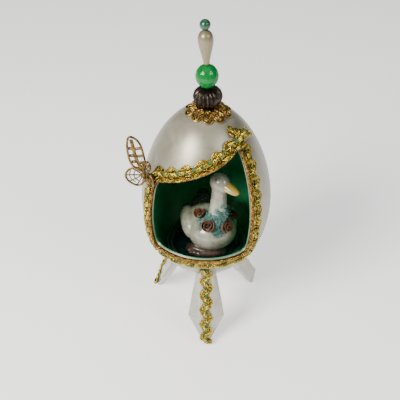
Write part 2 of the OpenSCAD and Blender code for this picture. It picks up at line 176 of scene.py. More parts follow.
def settle(obj):
    """Puts the object's place into its mesh."""
    only(obj)
    bpy.ops.object.transform_apply(location=True, rotation=True, scale=True)
    return obj


def edit(obj, operator, **settings):
    """Runs an edit operator on the whole mesh."""
    only(obj)
    bpy.ops.object.mode_set(mode="EDIT")
    bpy.ops.mesh.select_all(action="SELECT")
    operator(**settings)
    bpy.ops.object.mode_set(mode="OBJECT")
    return obj


def finish_mesh(obj, angle, merge=True):
    """Merges doubles, turns the faces outwards and smooths up to an angle in degrees."""
    if merge:
        edit(obj, bpy.ops.mesh.remove_doubles, threshold=DOUBLES)
    edit(obj, bpy.ops.mesh.normals_make_consistent, inside=False)
    bpy.ops.object.shade_smooth_by_angle(angle=math.radians(angle))
    return obj


def apply_modifier(obj, kind, **settings):
    only(obj)
    m = obj.modifiers.new(kind.lower(), kind)
    for key, value in settings.items():
        setattr(m, key, value)
    bpy.ops.object.modifier_apply(modifier=m.name)
    return obj


def join(objs, name):
    clear()
    for o in objs:
        o.select_set(True)
    bpy.context.view_layer.objects.active = objs[0]
    bpy.ops.object.join()
    return named(name)


def from_rings(name, verts, faces, slots=None):
    """A mesh object from points in millimetres about the egg's middle."""
    mesh = bpy.data.meshes.new(name)
    pts = np.asarray([tuple(v) for v in verts], dtype=float) * MM + np.array(EGG_C)
    mesh.from_pydata(pts.tolist(), [], faces)
    if slots is not None:
        mesh.polygons.foreach_set("material_index", slots)
    mesh.update()
    obj = bpy.data.objects.new(name, mesh)
    bpy.context.scene.collection.objects.link(obj)
    return obj


def ball(place, size, turn=0.0, tilt=0.0, segments=32, rings=20):
    """An egg-shaped lump: a sphere of three half-sizes in mm, tilted, then turned about Z."""
    clear()
    bpy.ops.mesh.primitive_uv_sphere_add(segments=segments, ring_count=rings, radius=MM)
    o = bpy.context.active_object
    o.scale = size
    o.rotation_euler = (math.radians(tilt), 0, math.radians(turn))
    o.location = world(place)
    return settle(o)


def smooth_line(points, step):
    """A smooth curve through the points, sampled every step."""
    p = np.asarray([tuple(q) for q in points], dtype=float)
    p = np.vstack([2 * p[0] - p[1], p, 2 * p[-1] - p[-2]])
    out = []
    for i in range(1, len(p) - 2):
        a, b, c, d = p[i - 1], p[i], p[i + 1], p[i + 2]
        for t in np.linspace(0, 1, 12, endpoint=False):
            out.append(0.5 * (2 * b + (c - a) * t + (2 * a - 5 * b + 4 * c - d) * t * t
                              + (3 * b - a - 3 * c + d) * t ** 3))
    out.append(p[-2])
    out = np.array(out)
    run = np.concatenate([[0], np.cumsum(np.linalg.norm(np.diff(out[:, :3], axis=0), axis=1))])
    n = max(int(run[-1] / step), 2)
    at = np.linspace(0, run[-1], n + 1)
    return np.stack([np.interp(at, run, out[:, k]) for k in range(out.shape[1])], axis=1)


def unit_rows(v):
    return v / np.linalg.norm(v, axis=1, keepdims=True)


def tube_parts(pts, radius, sides=6, lobes=0, depth=0.0, pitch=1.0, phase=0.0, closed=False,
               up=None, flat=1.0):
    """Rings and faces of a thread along pts. Lobes that turn with the pitch make it look twisted."""
    p = np.asarray(pts, dtype=float)
    n = len(p)
    t = np.roll(p, -1, 0) - np.roll(p, 1, 0) if closed else np.gradient(p, axis=0)
    t = unit_rows(t)
    if up is None:
        side = np.zeros_like(p)
        v = np.cross(t[0], [0.3, 0.5, 0.81])
        for i in range(n):
            v = v - t[i] * np.dot(v, t[i])
            v = v / np.linalg.norm(v)
            side[i] = v
    else:
        side = unit_rows(np.cross(t, up))
    out = np.cross(side, t)
    run = np.concatenate([[0], np.cumsum(np.linalg.norm(np.diff(p, axis=0), axis=1))])
    ang = np.arange(sides) * 2 * math.pi / sides
    twist = phase + run * 2 * math.pi / pitch
    r = np.broadcast_to(np.asarray(radius, dtype=float), (n,))[:, None]
    if lobes:
        r = r * (1 + depth * np.cos(lobes * (ang[None, :] - twist[:, None])))
    else:
        r = r * np.ones((1, sides))
    ring = (p[:, None, :] + side[:, None, :] * (r * np.cos(ang))[:, :, None]
            + out[:, None, :] * (r * np.sin(ang) * flat)[:, :, None])
    verts = ring.reshape(-1, 3)
    faces = []
    for i in range(n if closed else n - 1):
        a, b = i * sides, ((i + 1) % n) * sides
        faces += [(a + j, a + (j + 1) % sides, b + (j + 1) % sides, b + j) for j in range(sides)]
    if not closed:
        faces += [tuple(range(sides - 1, -1, -1)), tuple(range((n - 1) * sides, n * sides))]
    return verts, faces


class Bundle:
    """Collects threads and plates, which then become one mesh."""

    def __init__(self):
        self.verts, self.faces, self.slots, self.count = [], [], [], 0

    def add(self, verts, faces, slot=0):
        self.verts.append(np.asarray([tuple(v) for v in verts], dtype=float))
        self.faces += [tuple(i + self.count for i in f) for f in faces]
        self.slots += [slot] * len(faces)
        self.count += len(verts)

    def thread(self, pts, radius, slot=0, **kw):
        self.add(*tube_parts(pts, radius, **kw), slot)

    def mesh(self, name):
        obj = from_rings(name, np.vstack(self.verts), self.faces, self.slots)
        return finish_mesh(obj, 60, merge=False)


# ---------------------------------------------------------------- materials
class Term:
    """A number from a node, which can be used in sums."""

    def __init__(self, shop, socket):
        self.shop, self.socket = shop, socket

    def math(self, operation, a, b=0.0):
        return self.shop.node("ShaderNodeMath", {"operation": operation}, {0: a, 1: b})

    def __add__(self, other):
        return self.math("ADD", self, other)

    def __radd__(self, other):
        return self.math("ADD", other, self)

    def __sub__(self, other):
        return self.math("SUBTRACT", self, other)

    def __rsub__(self, other):
        return self.math("SUBTRACT", other, self)

    def __mul__(self, other):
        return self.math("MULTIPLY", self, other)

    def __rmul__(self, other):
        return self.math("MULTIPLY", other, self)

    def __truediv__(self, other):
        return self.math("DIVIDE", self, other)

    def abs(self):
        return self.math("ABSOLUTE", self)

    def ramp(self, low, high):
        """0 below low, 1 above high, smooth between."""
        return self.shop.node("ShaderNodeMapRange", {"interpolation_type": "SMOOTHSTEP"},
                              {0: self, 1: low, 2: high, 3: 0.0, 4: 1.0})


class Finish:
    """One material: a Principled surface and the nodes that feed it."""

    def __init__(self, name, **fixed):
        self.name = name
        self.material = bpy.data.materials.new(name)
        self.material.use_nodes = True
        self.tree = self.material.node_tree
        self.shader = self.tree.nodes["Principled BSDF"]
        for key, value in fixed.items():
            self.shader.inputs[key.replace("_", " ")].default_value = value
        self.coords = None

    def node(self, kind, settings=None, inputs=None, out=0):
        n = self.tree.nodes.new(kind)
        for key, value in (settings or {}).items():
            setattr(n, key, value)
        for key, value in (inputs or {}).items():
            if isinstance(value, Term):
                self.tree.links.new(value.socket, n.inputs[key])
            else:
                n.inputs[key].default_value = value
        return Term(self, n.outputs[out])

    def where(self):
        if self.coords is None:
            self.coords = self.node("ShaderNodeTexCoord", out="Object")
        return self.coords

    def axis(self, which):
        return self.node("ShaderNodeSeparateXYZ", {}, {0: self.where()}, which)

    def noise(self, size_mm, detail=3.0, rough=0.55, distort=0.0):
        return self.node("ShaderNodeTexNoise", {}, {"Vector": self.where(), "Scale": 1000 / size_mm,
                         "Detail": detail, "Roughness": rough, "Distortion": distort})

    def cells(self, size_mm):
        return self.node("ShaderNodeTexVoronoi", {}, {"Vector": self.where(), "Scale": 1000 / size_mm})

    def blend(self, mask, a, b):
        return self.node("ShaderNodeMix", {"data_type": "RGBA"}, {0: mask, 6: a, 7: b}, 2)

    def feed(self, **sockets):
        for key, term in sockets.items():
            self.tree.links.new(term.socket, self.shader.inputs[key.replace("_", " ")])
        return self

    def bump(self, height, depth_mm, strength=1.0):
        n = self.node("ShaderNodeBump", {}, {"Height": height, "Distance": depth_mm * MM,
                                             "Strength": strength})
        return self.feed(Normal=n)


def rgb(r, g, b):
    return (r, g, b, 1.0)


def mottled(name, dark, light, cloud, ramp=None, grain=None, relief=None, **fixed):
    """A finish whose colour drifts between two tones. The grain, or else the cloud, stands up in
    relief, by a depth in mm and a strength."""
    f = Finish(name, **fixed)
    n = f.noise(*cloud)
    f.feed(Base_Color=f.blend(n.ramp(*ramp) if ramp else n, rgb(*dark), rgb(*light)))
    if relief:
        f.bump(f.noise(*grain) if grain else n, *relief)
    return f


def pearl_lacquer():
    f = Finish("pearl_lacquer", Roughness=0.35, Coat_Weight=0.3, Coat_Roughness=0.34,
               Metallic=0.45, Specular_IOR_Level=0.5)
    flow = f.noise(9, 4, 0.6, 0.6)
    fine = f.noise(0.7, 2)
    pore = f.cells(1.1)
    tone = f.blend(flow.ramp(0.3, 0.7), rgb(0.245, 0.226, 0.163), rgb(0.335, 0.312, 0.238))
    # Olive tint on the underside, on both sides of the front leg
    x, y, z = f.axis(0) - EGG_C.x, f.axis(1) - EGG_C.y, f.axis(2) - EGG_C.z
    low = (z * -1).ramp(0.018, 0.022)
    beside = (x.abs() / (y * -1 + 0.0001)).ramp(0.45, 0.55)
    ahead = (y * -1).ramp(0.003, 0.006)
    olive_tint = low * beside * ahead
    f.feed(Base_Color=f.blend(olive_tint * 0.75, tone, rgb(0.34, 0.30, 0.13)),
           Roughness=flow * 0.18 + fine * 0.08 + 0.26)
    return f.bump(fine * 0.5 + (1 - pore.ramp(0.0, 0.35)) * -0.4 + flow, 0.05, 0.5)


def green_enamel():
    f = Finish("green_enamel", Coat_Weight=0.12, Coat_Roughness=0.2, Specular_IOR_Level=0.5)
    flow = f.noise(6, 3)
    speck = f.cells(0.9)
    pick = f.noise(2.3, 2).ramp(0.60, 0.68)
    glint = (1 - speck.ramp(0.10, 0.16)) * pick
    base = f.blend(flow, rgb(0.016, 0.19, 0.066), rgb(0.030, 0.28, 0.105))
    f.feed(Base_Color=f.blend(glint, base, rgb(0.45, 0.62, 0.45)), Metallic=glint * 0.8,
           Roughness=0.38 - flow * 0.1)
    return f.bump(f.noise(1.2, 3), 0.05, 0.4)


def milled_green():
    f = Finish("milled_green", Roughness=0.35, Coat_Weight=0.2)
    n = f.noise(1.5, 3)
    f.feed(Base_Color=f.blend(n, rgb(0.004, 0.025, 0.012), rgb(0.012, 0.06, 0.03)), Metallic=n * 0.3)
    return f.bump(n, 0.04, 0.4)


def goose_glaze():
    f = Finish("goose_glaze", Roughness=0.22, Coat_Weight=0.5, Coat_Roughness=0.1,
               Subsurface_Weight=0.12, Subsurface_Scale=0.002)
    cloud = f.noise(7, 4, 0.6, 0.4)
    fine = f.noise(0.8, 3)
    grime = f.noise(2.6, 4, 0.65).ramp(0.48, 0.72)
    tone = f.blend(cloud.ramp(0.3, 0.7), rgb(0.20, 0.196, 0.145), rgb(0.40, 0.39, 0.31))
    back = f.axis(1) - EGG_C.y
    tail_shade = back.ramp(-0.0025, 0.0015)              # painted shade: the tail and wing tips, shaded by the shell's roof, are painted near black
    # painted shade: the body darkens towards the back, where the shell's upper edge shades it
    rear_shade = back.ramp(-0.0115, -0.001)
    # painted shade on the head, which lies in the shadow of the window's upper edge
    head_shade = (f.axis(2) - EGG_C.z).ramp(0.0085, 0.0120) * 0.4
    # Random grime, the painted shade at the rear and the painted shade on the head darken the body
    # towards grey green
    body = f.blend(grime * 0.35 + rear_shade * 0.5 + head_shade, tone, rgb(0.15, 0.15, 0.10))
    f.feed(Base_Color=f.blend(tail_shade, body, rgb(0.012, 0.012, 0.009)), Roughness=0.16 + fine * 0.2)
    return f.bump(fine * 0.4 + cloud, 0.10, 0.55)


def gold_thread(name, dark, light, rough):
    f = Finish(name, Metallic=0.9, Roughness=rough, Specular_IOR_Level=0.6)
    n = f.noise(0.8, 3, 0.6)
    tarnish = f.noise(6, 3).ramp(0.45, 0.7)
    base = f.blend(n.ramp(0.3, 0.7), dark, light)
    f.feed(Base_Color=f.blend(tarnish * 0.35, base, dark), Roughness=n * 0.2 + rough - 0.1)
    return f.bump(f.noise(0.16, 2), 0.06, 0.7)


def filigree(name, dark, light):
    f = Finish(name, Metallic=1.0)
    n = f.noise(1.6, 3, 0.6)
    f.feed(Base_Color=f.blend(n.ramp(0.3, 0.75), dark, light), Roughness=0.22 + n * 0.2)
    return f.bump(f.noise(0.3, 2), 0.04, 0.5)


def antique_bronze():
    f = Finish("antique_bronze", Metallic=0.95, Roughness=0.34)
    n = f.noise(1.8, 4, 0.65)
    f.feed(Base_Color=f.blend(n.ramp(0.35, 0.75), rgb(0.015, 0.011, 0.009), rgb(0.11, 0.085, 0.065)),
           Roughness=0.25 + n * 0.25)
    return f.bump(f.noise(0.4, 3), 0.05, 0.6)


def clear_acrylic(name, dark, light, through):
    f = Finish(name, Transmission_Weight=through, IOR=1.49, Specular_IOR_Level=0.7)
    haze = f.noise(5, 3)
    f.feed(Base_Color=f.blend(haze, dark, light), Roughness=haze * 0.1 + 0.03)
    return f.bump(f.noise(3.0, 2), 0.015, 0.3)


FINISHES = (
    pearl_lacquer(), green_enamel(), milled_green(), goose_glaze(), antique_bronze(),
    mottled("pond_gloss", (0.002, 0.006, 0.008), (0.004, 0.03, 0.035), (5, 2), ramp=(0.35, 0.7),
            relief=(0.08, 0.3), Roughness=0.08, Coat_Weight=0.8, Coat_Roughness=0.03),
    mottled("bill_glaze", (0.27, 0.18, 0.022), (0.42, 0.31, 0.06), (1.6, 3),
            relief=(0.05, 0.4), Roughness=0.25, Coat_Weight=0.5, Coat_Roughness=0.1),
    mottled("ground_glaze", (0.024, 0.013, 0.009), (0.085, 0.048, 0.034), (3.5, 5, 0.6, 0.5),
            ramp=(0.35, 0.65), grain=(1.0, 4), relief=(0.18, 0.6),
            Roughness=0.34, Coat_Weight=0.25, Coat_Roughness=0.2),
    mottled("moss_fibre", (0.02, 0.085, 0.075), (0.12, 0.27, 0.23), (1.2, 4, 0.7), ramp=(0.3, 0.7),
            grain=(0.35, 3), relief=(0.12, 0.7), Roughness=0.75, Sheen_Weight=0.12),
    mottled("rose_ribbon", (0.042, 0.012, 0.003), (0.16, 0.056, 0.012), (1.3, 3), grain=(0.3, 2),
            relief=(0.05, 0.5), Roughness=0.42, Sheen_Weight=0.04, Metallic=0.35),
    mottled("rose_edge", (0.36, 0.16, 0.03), (0.72, 0.40, 0.11), (0.5, 2),
            relief=(0.04, 0.5), Roughness=0.35, Metallic=0.85),
    gold_thread("gold_thread", rgb(0.055, 0.034, 0.003), rgb(0.70, 0.52, 0.075), 0.25),
    gold_thread("copper_thread", rgb(0.035, 0.016, 0.002), rgb(0.42, 0.24, 0.05), 0.24),
    mottled("green_satin", (0.016, 0.06, 0.016), (0.085, 0.17, 0.055), (1.0, 3), grain=(0.2, 2),
            relief=(0.05, 0.6), Roughness=0.5, Sheen_Weight=0.08, Specular_IOR_Level=0.3),
    filigree("filigree_gold", rgb(0.13, 0.065, 0.012), rgb(0.55, 0.36, 0.10)),
    filigree("filigree_dim", rgb(0.06, 0.034, 0.008), rgb(0.30, 0.19, 0.055)),
    filigree("filigree_shade", rgb(0.04, 0.018, 0.004), rgb(0.20, 0.11, 0.03)),
    mottled("emerald_glass", (0.0, 0.12, 0.018), (0.002, 0.24, 0.045), (3, 2),
            Roughness=0.14, Transmission_Weight=0.18, IOR=1.45, Specular_IOR_Level=0.3),
    mottled("cream_pearl", (0.17, 0.14, 0.07), (0.27, 0.23, 0.135), (2.2, 3, 0.6, 0.3),
            grain=(0.5, 2), relief=(0.02, 0.3),
            Roughness=0.36, Coat_Weight=0.4, Coat_Roughness=0.2, Metallic=0.4),
    mottled("green_pearl", (0.008, 0.055, 0.026), (0.03, 0.14, 0.07), (1.2, 3), relief=(0.03, 0.3),
            Roughness=0.34, Coat_Weight=0.4, Coat_Roughness=0.25, Metallic=0.5),
    clear_acrylic("clear_acrylic", rgb(0.52, 0.50, 0.42), rgb(0.72, 0.70, 0.61), 0.5),
    # Darker acrylic for the bevelled edges: painted shade in place of the dark lines that a clear prism
    # shows along its edges
    clear_acrylic("acrylic_edge_shade", rgb(0.10, 0.092, 0.065), rgb(0.18, 0.168, 0.125), 0.2),
    mottled("black_gloss", (0.003, 0.003, 0.003), (0.01, 0.009, 0.008), (1, 2),
            Roughness=0.06, Coat_Weight=1.0),
    mottled("amber_glue", (0.50, 0.42, 0.22), (0.70, 0.62, 0.40), (2, 3), relief=(0.1, 0.4),
            Roughness=0.18, Transmission_Weight=0.4, IOR=1.48),
    mottled("bright_wire", (0.40, 0.38, 0.34), (0.62, 0.60, 0.56), (0.8, 3), grain=(0.2, 2),
            relief=(0.02, 0.4), Metallic=1.0, Roughness=0.25))
PAINT = {f.name: f.material for f in FINISHES}


def wear(obj, *names):
    faces = [0] * len(obj.data.polygons)
    obj.data.polygons.foreach_get("material_index", faces)
    obj.data.materials.clear()
    for name in names:
        obj.data.materials.append(PAINT[name])
    obj.data.polygons.foreach_set("material_index", [min(i, len(names) - 1) for i in faces])
    return obj


def stand_for(obj, node):
    """The piece rides on the one body and stands for its CAD node."""
    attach(obj, "root")
    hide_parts(node)
    return obj


# ---------------------------------------------------------------- shell and lining
def egg_skin(name, inset, thick, grow):
    """A closed egg wall with the window cut out of it."""
    clear()
    bpy.ops.mesh.primitive_uv_sphere_add(segments=192, ring_count=128, radius=1)
    o = named(name)
    for v in o.data.vertices:
        s = v.co.z
        flat = math.hypot(v.co.x, v.co.y)
        k = (EGG_A - inset) * (1 - EGG_POINT * s) / (1 + EGG_POINT ** 2 / 2) if flat > 1e-7 else 0
        v.co = world((v.co.x * k, v.co.y * k, (EGG_B - inset) * s))
    o.data.update()
    finish_mesh(o, 60)
    apply_modifier(o, "SOLIDIFY", thickness=thick * MM, offset=-1)
    cutter = window_cutter(grow)
    apply_modifier(o, "BOOLEAN", object=cutter, operation="DIFFERENCE", solver="EXACT")
    bpy.data.objects.remove(cutter)
    return finish_mesh(o, 50)


def window_cutter(grow):
    pts = [on_egg(*q) for q in route(grow)]
    apex = Vector((0, 0, 3))
    far = apex + Vector((0, -EGG_A * 2.2, 0))
    n = len(pts)
    verts = [apex + (p - apex) * 1.25 for p in pts] + [apex, far]
    faces = [((i + 1) % n, i, n) for i in range(n)] + [(i, (i + 1) % n, n + 1) for i in range(n)]
    return finish_mesh(from_rings("cutter", verts, faces), 30)


def make_shell():
    shell = wear(egg_skin("shell_with_window", 0, SHELL_T, 0), "pearl_lacquer")
    stand_for(shell, "egg_shell")
    lining = wear(egg_skin("enamel_lining", SHELL_T + 0.02, LINING_T - 0.02, 0.3), "green_enamel")
    stand_for(lining, "green_lining")


# ---------------------------------------------------------------- trims
BRAID_OFF = 3.7                   # from the window's edge to the braid's middle
TOP_OFF = 2.9                     # the same along the window's upper edge, where it covers the cord
GLUE_GAP = 0.12
BRAID_LIFT = 0.3
PERIOD = 6.9                       # length of one wave of the gimp
SWING = 1.95                       # how far the gold threads swing to each side
THREADS = (-0.75, -0.25, 0.25, 0.75)
CORD_R = 0.27
BIND_R = 0.23
BIND_TURNS = 1.7                   # turns of the binding thread in each wave
CORE_R = 0.85
CORE_FLAT = 0.6
CORE_SIDE = -0.15                  # the core lies a little off the middle
RIM_V, RIM_SWING = 2.1, 0.8        # the two threads that close the chain at its sides
EDGE_OFF, EDGE_LIFT = 0.48, 0.74     # the edge cord's middle, out from the window and off the shell
EDGE_STRANDS, EDGE_STRAND_R = 4, 0.33
EDGE_HELIX, EDGE_PITCH = 0.48, 3.0
END_TO_LEFT = [(-2.5, 6.0), (2.5, 5.4), (8, 4.0), (11, 1.2)]
END_TO_RIGHT = [(10, 2.2), (15, 2.9), (19.5, 3.1)]
END_CLIMB = [1.6, 2.5, 2.5]
TIP_SKIP = 4                       # outline points that the braid leaves out at the window's point


def gimp_frame(line, step):
    """Samples of a braid's middle line: places, along, side and out."""
    s = smooth_line([tuple(p) + tuple(n) for p, n in line], step)
    place, out = s[:, :3], unit_rows(s[:, 3:])
    along = unit_rows(np.gradient(place, axis=0))
    side = unit_rows(np.cross(along, out))
    return place, side, np.cross(side, along)


def gimp(name, line, fray=(True, True), beside=(1.0, 1.0), period=PERIOD):
    """Gimp braid: gold threads that swing together from side to side over a green core. beside
    is how far they rise on the window's side, up to two thirds of the length and after it."""
    step = 0.12
    place, side, out = gimp_frame(line, step)
    n = len(place)
    u = np.arange(n) * step
    w = 2 * math.pi / period
    length = u[-1]
    beside = np.interp(u / length, (0.66, 0.72), beside)
    gold, core = Bundle(), Bundle()
    ends = np.minimum(1, np.minimum(u, length - u) / 2.0 + 0.45)
    lean = np.arctan(SWING * w * np.cos(w * u))
    for k, d in enumerate(THREADS):
        v = (SWING * np.sin(w * u) + d * (0.45 + 0.55 * np.cos(lean))) * ends
        hump = np.exp(-((v - CORE_SIDE) / 1.05) ** 4)
        over = np.clip((v - 1.5) / 1.0, 0, 1) * beside
        lift = CORD_R + 0.05 + (2 * CORE_R * CORE_FLAT + 0.06) * hump + 0.75 * over
        at = np.clip(u - 0.78 * d * np.sin(lean), 0, length)
        pick = [np.stack([np.interp(at, u, a[:, c]) for c in range(3)], 1) for a in (place, side, out)]
        pts = pick[0] + pick[1] * v[:, None] + pick[2] * lift[:, None]
        gold.thread(pts, CORD_R, sides=8, lobes=2, depth=0.36, pitch=1.15, phase=k * 1.1)
    # A finer thread binds the core wherever the others swing away from the window
    dense = (np.maximum(0, -np.sin(w * u)) ** 2 + 0.02) / 0.27       # 1 on average over a wave
    turn = np.cumsum(dense) * step * BIND_TURNS * 2 * math.pi / period
    pts = (place + side * (CORE_SIDE + 1.02 * np.cos(turn))[:, None]
           + out * (0.62 + 0.62 * np.sin(turn))[:, None])
    gold.thread(pts, BIND_R, sides=6, lobes=2, depth=0.3, pitch=0.9)
    for rim in (-RIM_V, RIM_V):
        v = (rim + RIM_SWING * np.sin(w * u)) * ends
        over = np.clip((v - 1.5) / 1.0, 0, 1) * beside
        pts = place + side * v[:, None] + out * (CORD_R + 0.05 + 0.75 * over)[:, None]
        gold.thread(pts[::2], CORD_R, sides=7, lobes=2, depth=0.36, pitch=1.15)
    trim = slice(int(0.5 / step), n - int(0.5 / step), 2)
    mid = (place + side * CORE_SIDE + out * (CORE_R * CORE_FLAT + 0.04))[trim]
    core.thread(mid, CORE_R, sides=12, lobes=4, depth=0.08, pitch=3.2, up=out[trim], flat=CORE_FLAT)
    for end, inward, wanted in ((0, 12, fray[0]), (n - 1, n - 13, fray[1])):
        if wanted:
            fray_end(gold, place[end], side[end], out[end], place[end] - place[inward])
    return gold.mesh(name), core.mesh(name + "_core")


def fray_end(bundle, place, side, out, ahead):
    """Loose threads where a braid was cut."""
    ahead = ahead / np.linalg.norm(ahead)
    for _ in range(16):
        s = random.uniform(-1.6, 1.6)
        reach = random.uniform(0.5, 1.5)
        bend = random.uniform(-0.7, 0.7)
        rise = random.uniform(0.1, 0.7)
        start = place + side * s + out * 0.4 - ahead * 0.6
        pts = [start, start + ahead * reach * 0.6 + out * rise * 0.5,
               start + ahead * reach + side * bend + out * rise]
        bundle.thread(smooth_line(pts, 0.25), 0.12, sides=5)


def end_wrap(bundle, place, side, out, ahead):
    """Four turns of thread round a braid's end."""
    t = np.linspace(0, 4 * 2 * math.pi, 88)
    pts = (place + np.outer(np.cos(t) * 1.7 - 0.9, side) + np.outer(np.sin(t) * 0.75 + 0.85, out)
           + np.outer(t / (2 * math.pi) * 0.5 - 1.0, ahead))
    bundle.thread(pts, 0.27, sides=7, lobes=2, depth=0.25, pitch=1.2)


def window_braid_line():
    """Down the right side, along the sill, up the left side and back to the point, where it crosses."""
    last = len(OUTLINE) - TIP_SKIP
    shoulder = last - TOP_STEPS
    mid = []
    for i in range(TIP_SKIP, last):
        near = min(max((i - shoulder) / 4, 0), 1)
        mid.append((moved(i, BRAID_OFF + (TOP_OFF - BRAID_OFF) * near), 0.0))
    tip = Vector((WIN_APEX, WIN_TOP))
    first = [(tip + Vector(e), 0.0) for e in END_TO_LEFT]
    final = [(tip + Vector(e), c) for e, c in zip(END_TO_RIGHT, END_CLIMB)]
    ramp = [0.15, 0.4, 0.8]
    body = mid[:-3] + [(q, c) for (q, _), c in zip(mid[-3:], ramp)]
    return [(on_egg(q.x, q.y, BRAID_LIFT - 0.15 + climb), egg_normal(q.x, q.y))
            for q, climb in first + body + final]


def make_window_trims():
    gold, core = gimp("window_gimp", window_braid_line(), beside=(1.0, 1.8))
    stand_for(wear(gold, "gold_thread"), "window_braid")
    stand_for(wear(core, "green_satin"), "window_braid_core")
    cord = Bundle()
    line = [(on_egg(p.x, p.y, EDGE_LIFT), egg_normal(p.x, p.y)) for p in route(EDGE_OFF)[1:-1]]
    step = 0.2
    place, side, out = gimp_frame(line, step)
    u = np.arange(len(place)) * step
    for k in range(EDGE_STRANDS):
        a = u * 2 * math.pi / EDGE_PITCH + k * 2 * math.pi / EDGE_STRANDS
        pts = place + side * (EDGE_HELIX * np.cos(a))[:, None] + out * (EDGE_HELIX * np.sin(a))[:, None]
        cord.thread(pts, EDGE_STRAND_R, sides=8, lobes=2, depth=0.34, pitch=0.8)
    stand_for(wear(cord.mesh("edge_twist"), "copper_thread"), "edge_cord")


# ---------------------------------------------------------------- legs
LEG_LEN = 38.0
LEG_THICK = 6.0
LEG_BEVEL = 0.55
LEG_PERIOD = 7.8
# Degrees round the egg, foot's distance from the axis, degrees of tilt and of twist
LEGS = {"front": (0, 27.8, 15.5, 0), "left": (-114, 26.2, 24.0, 0), "right": (118, 26.2, 24.0, -30)}
LEG_BRAID_S = [0.14, 0.34, 0.48, 0.60, 0.80, 0.96]
LEG_BRAID_TOP = [-25.5, -29]
FEET_Z = -EGG_C.z / MM


def leg_axes(which):
    az, foot, tilt, twist = LEGS[which]
    a, t, w = math.radians(az), math.radians(tilt), math.radians(twist)
    out = Vector((math.sin(a), -math.cos(a), 0))
    down = out * math.sin(t) - Vector((0, 0, math.cos(t)))
    face0 = out * math.cos(t) + Vector((0, 0, math.sin(t)))
    side0 = Vector((math.cos(a), math.sin(a), 0))
    side = side0 * math.cos(w) + face0 * math.sin(w)
    face = face0 * math.cos(w) - side0 * math.sin(w)
    tip = out * foot + Vector((0, 0, FEET_Z))
    return tip, down, side, face


def leg_at(which, s, lift):
    """A point over a leg's middle line, at share s of its length from the top."""
    tip, down, _, face = leg_axes(which)
    return tip - down * LEG_LEN * (1 - s) + face * lift


def table_h(s):
    """Height of a leg's flat front over its middle line."""
    stations = [(0, 0.40), (0.34, 0.50), (0.60, 0.50), (1.0, 0.16)]
    return float(np.interp(s, [a for a, _ in stations], [b for _, b in stations])) * LEG_THICK


def make_leg(which):
    clear()
    node = frame["nodes"]["leg_" + which]
    prism = node.copy()
    prism.data = node.data.copy()
    prism.parent = None
    prism.matrix_world = node.matrix_world
    bpy.context.scene.collection.objects.link(prism)
    prism.name = "prism_leg_" + which
    prism.data.materials.clear()
    prism.data.materials.append(PAINT["clear_acrylic"])
    prism.data.materials.append(PAINT["acrylic_edge_shade"])
    prism.data.polygons.foreach_set("material_index", [0] * len(prism.data.polygons))
    edit(prism, bpy.ops.mesh.remove_doubles, threshold=DOUBLES)
    edit(prism, bpy.ops.mesh.dissolve_limited, angle_limit=math.radians(1))
    # The bevels take the darker slot, painted shade along the prism's edges
    apply_modifier(prism, "BEVEL", width=LEG_BEVEL * MM, segments=2, limit_method="ANGLE",
                   angle_limit=math.radians(12), material=1)
    finish_mesh(prism, 8)
    stand_for(wear(prism, "clear_acrylic", "acrylic_edge_shade"), "leg_" + which)
    az = LEGS[which][0]
    top = []
    if which == "front":
        top = [(on_egg(az, z, BRAID_LIFT), egg_normal(az, z)) for z in LEG_BRAID_TOP]
    face = leg_axes(which)[3]
    line = top + [(leg_at(which, s, table_h(s) + GLUE_GAP), face) for s in LEG_BRAID_S]
    gold, core = gimp("leg_gimp_" + which, line, (False, False), (0.0, 0.0), LEG_PERIOD)
    place, side, out = gimp_frame(line, 0.5)
    wrap = Bundle()
    end_wrap(wrap, place[-2], side[-2], out[-2], unit_rows(np.gradient(place, axis=0))[-2])
    gold = join([gold, wrap.mesh("wrap")], "leg_gimp_" + which)
    stand_for(wear(gold, "gold_thread"), "leg_braid_" + which)
    stand_for(wear(core, "green_satin"), "leg_core_" + which)


# ---------------------------------------------------------------- floor of the scene
RING_W, RING_TEETH = 2.2, 132


def make_floor_pieces():
    wear(frame["nodes"]["floor_disc"], "green_enamel")
    low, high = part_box("pond_disc")
    clear()
    r = (high[0] - low[0]) / 2
    bpy.ops.mesh.primitive_cylinder_add(vertices=128, radius=r, depth=high[2] - low[2],
                                        location=(AXIS.x, AXIS.y, (low[2] + high[2]) / 2))
    pond = edit(settle(named("pond_pool")), bpy.ops.mesh.bevel, offset=0.12 * MM, segments=3)
    finish_mesh(pond, 30)
    stand_for(wear(pond, "pond_gloss"), "pond_disc")
    low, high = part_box("milled_ring")
    outer = (high[0] - low[0]) / 2 / MM
    inner = outer - RING_W
    base = (low[2] - EGG_C.z) / MM
    teeth, per = RING_TEETH, 4
    profile = [(inner, 0), (inner, 0.35), (inner + 0.45, 0.55),
               (outer - 0.55, 0.55), (outer, 0.3), (outer, 0)]
    verts, faces = [], []
    n, m = teeth * per, len(profile)
    for i in range(n):
        a = i * 2 * math.pi / n
        ridge = abs(math.sin(a * teeth / 2))
        for r_, h in profile:
            verts.append((r_ * math.cos(a), r_ * math.sin(a), base + h * (0.55 + 0.6 * ridge) * 0.99))
        for j in range(m):
            b, c = i * m, ((i + 1) % n) * m
            faces.append((b + j, c + j, c + (j + 1) % m, b + (j + 1) % m))
    ring = finish_mesh(from_rings("milled_edge", verts, faces), 30)
    stand_for(wear(ring, "milled_green"), "milled_ring")


# ---------------------------------------------------------------- goose
GOOSE_TURN = 12
HEAD = Vector((5.9, -10.4, 11.5))
HEAD_TURN = 50
UPPER_BILL, LOWER_BILL = 6.9, 6.0
CHEST = Vector((2.0, -6.3, -16.5))      # the middle that the roses are set out from


def voxel(obj, size_mm, smooth):
    apply_modifier(obj, "REMESH", mode="VOXEL", voxel_size=size_mm * MM, adaptivity=0.0)
    apply_modifier(obj, "SMOOTH", factor=0.6, iterations=smooth)
    return obj


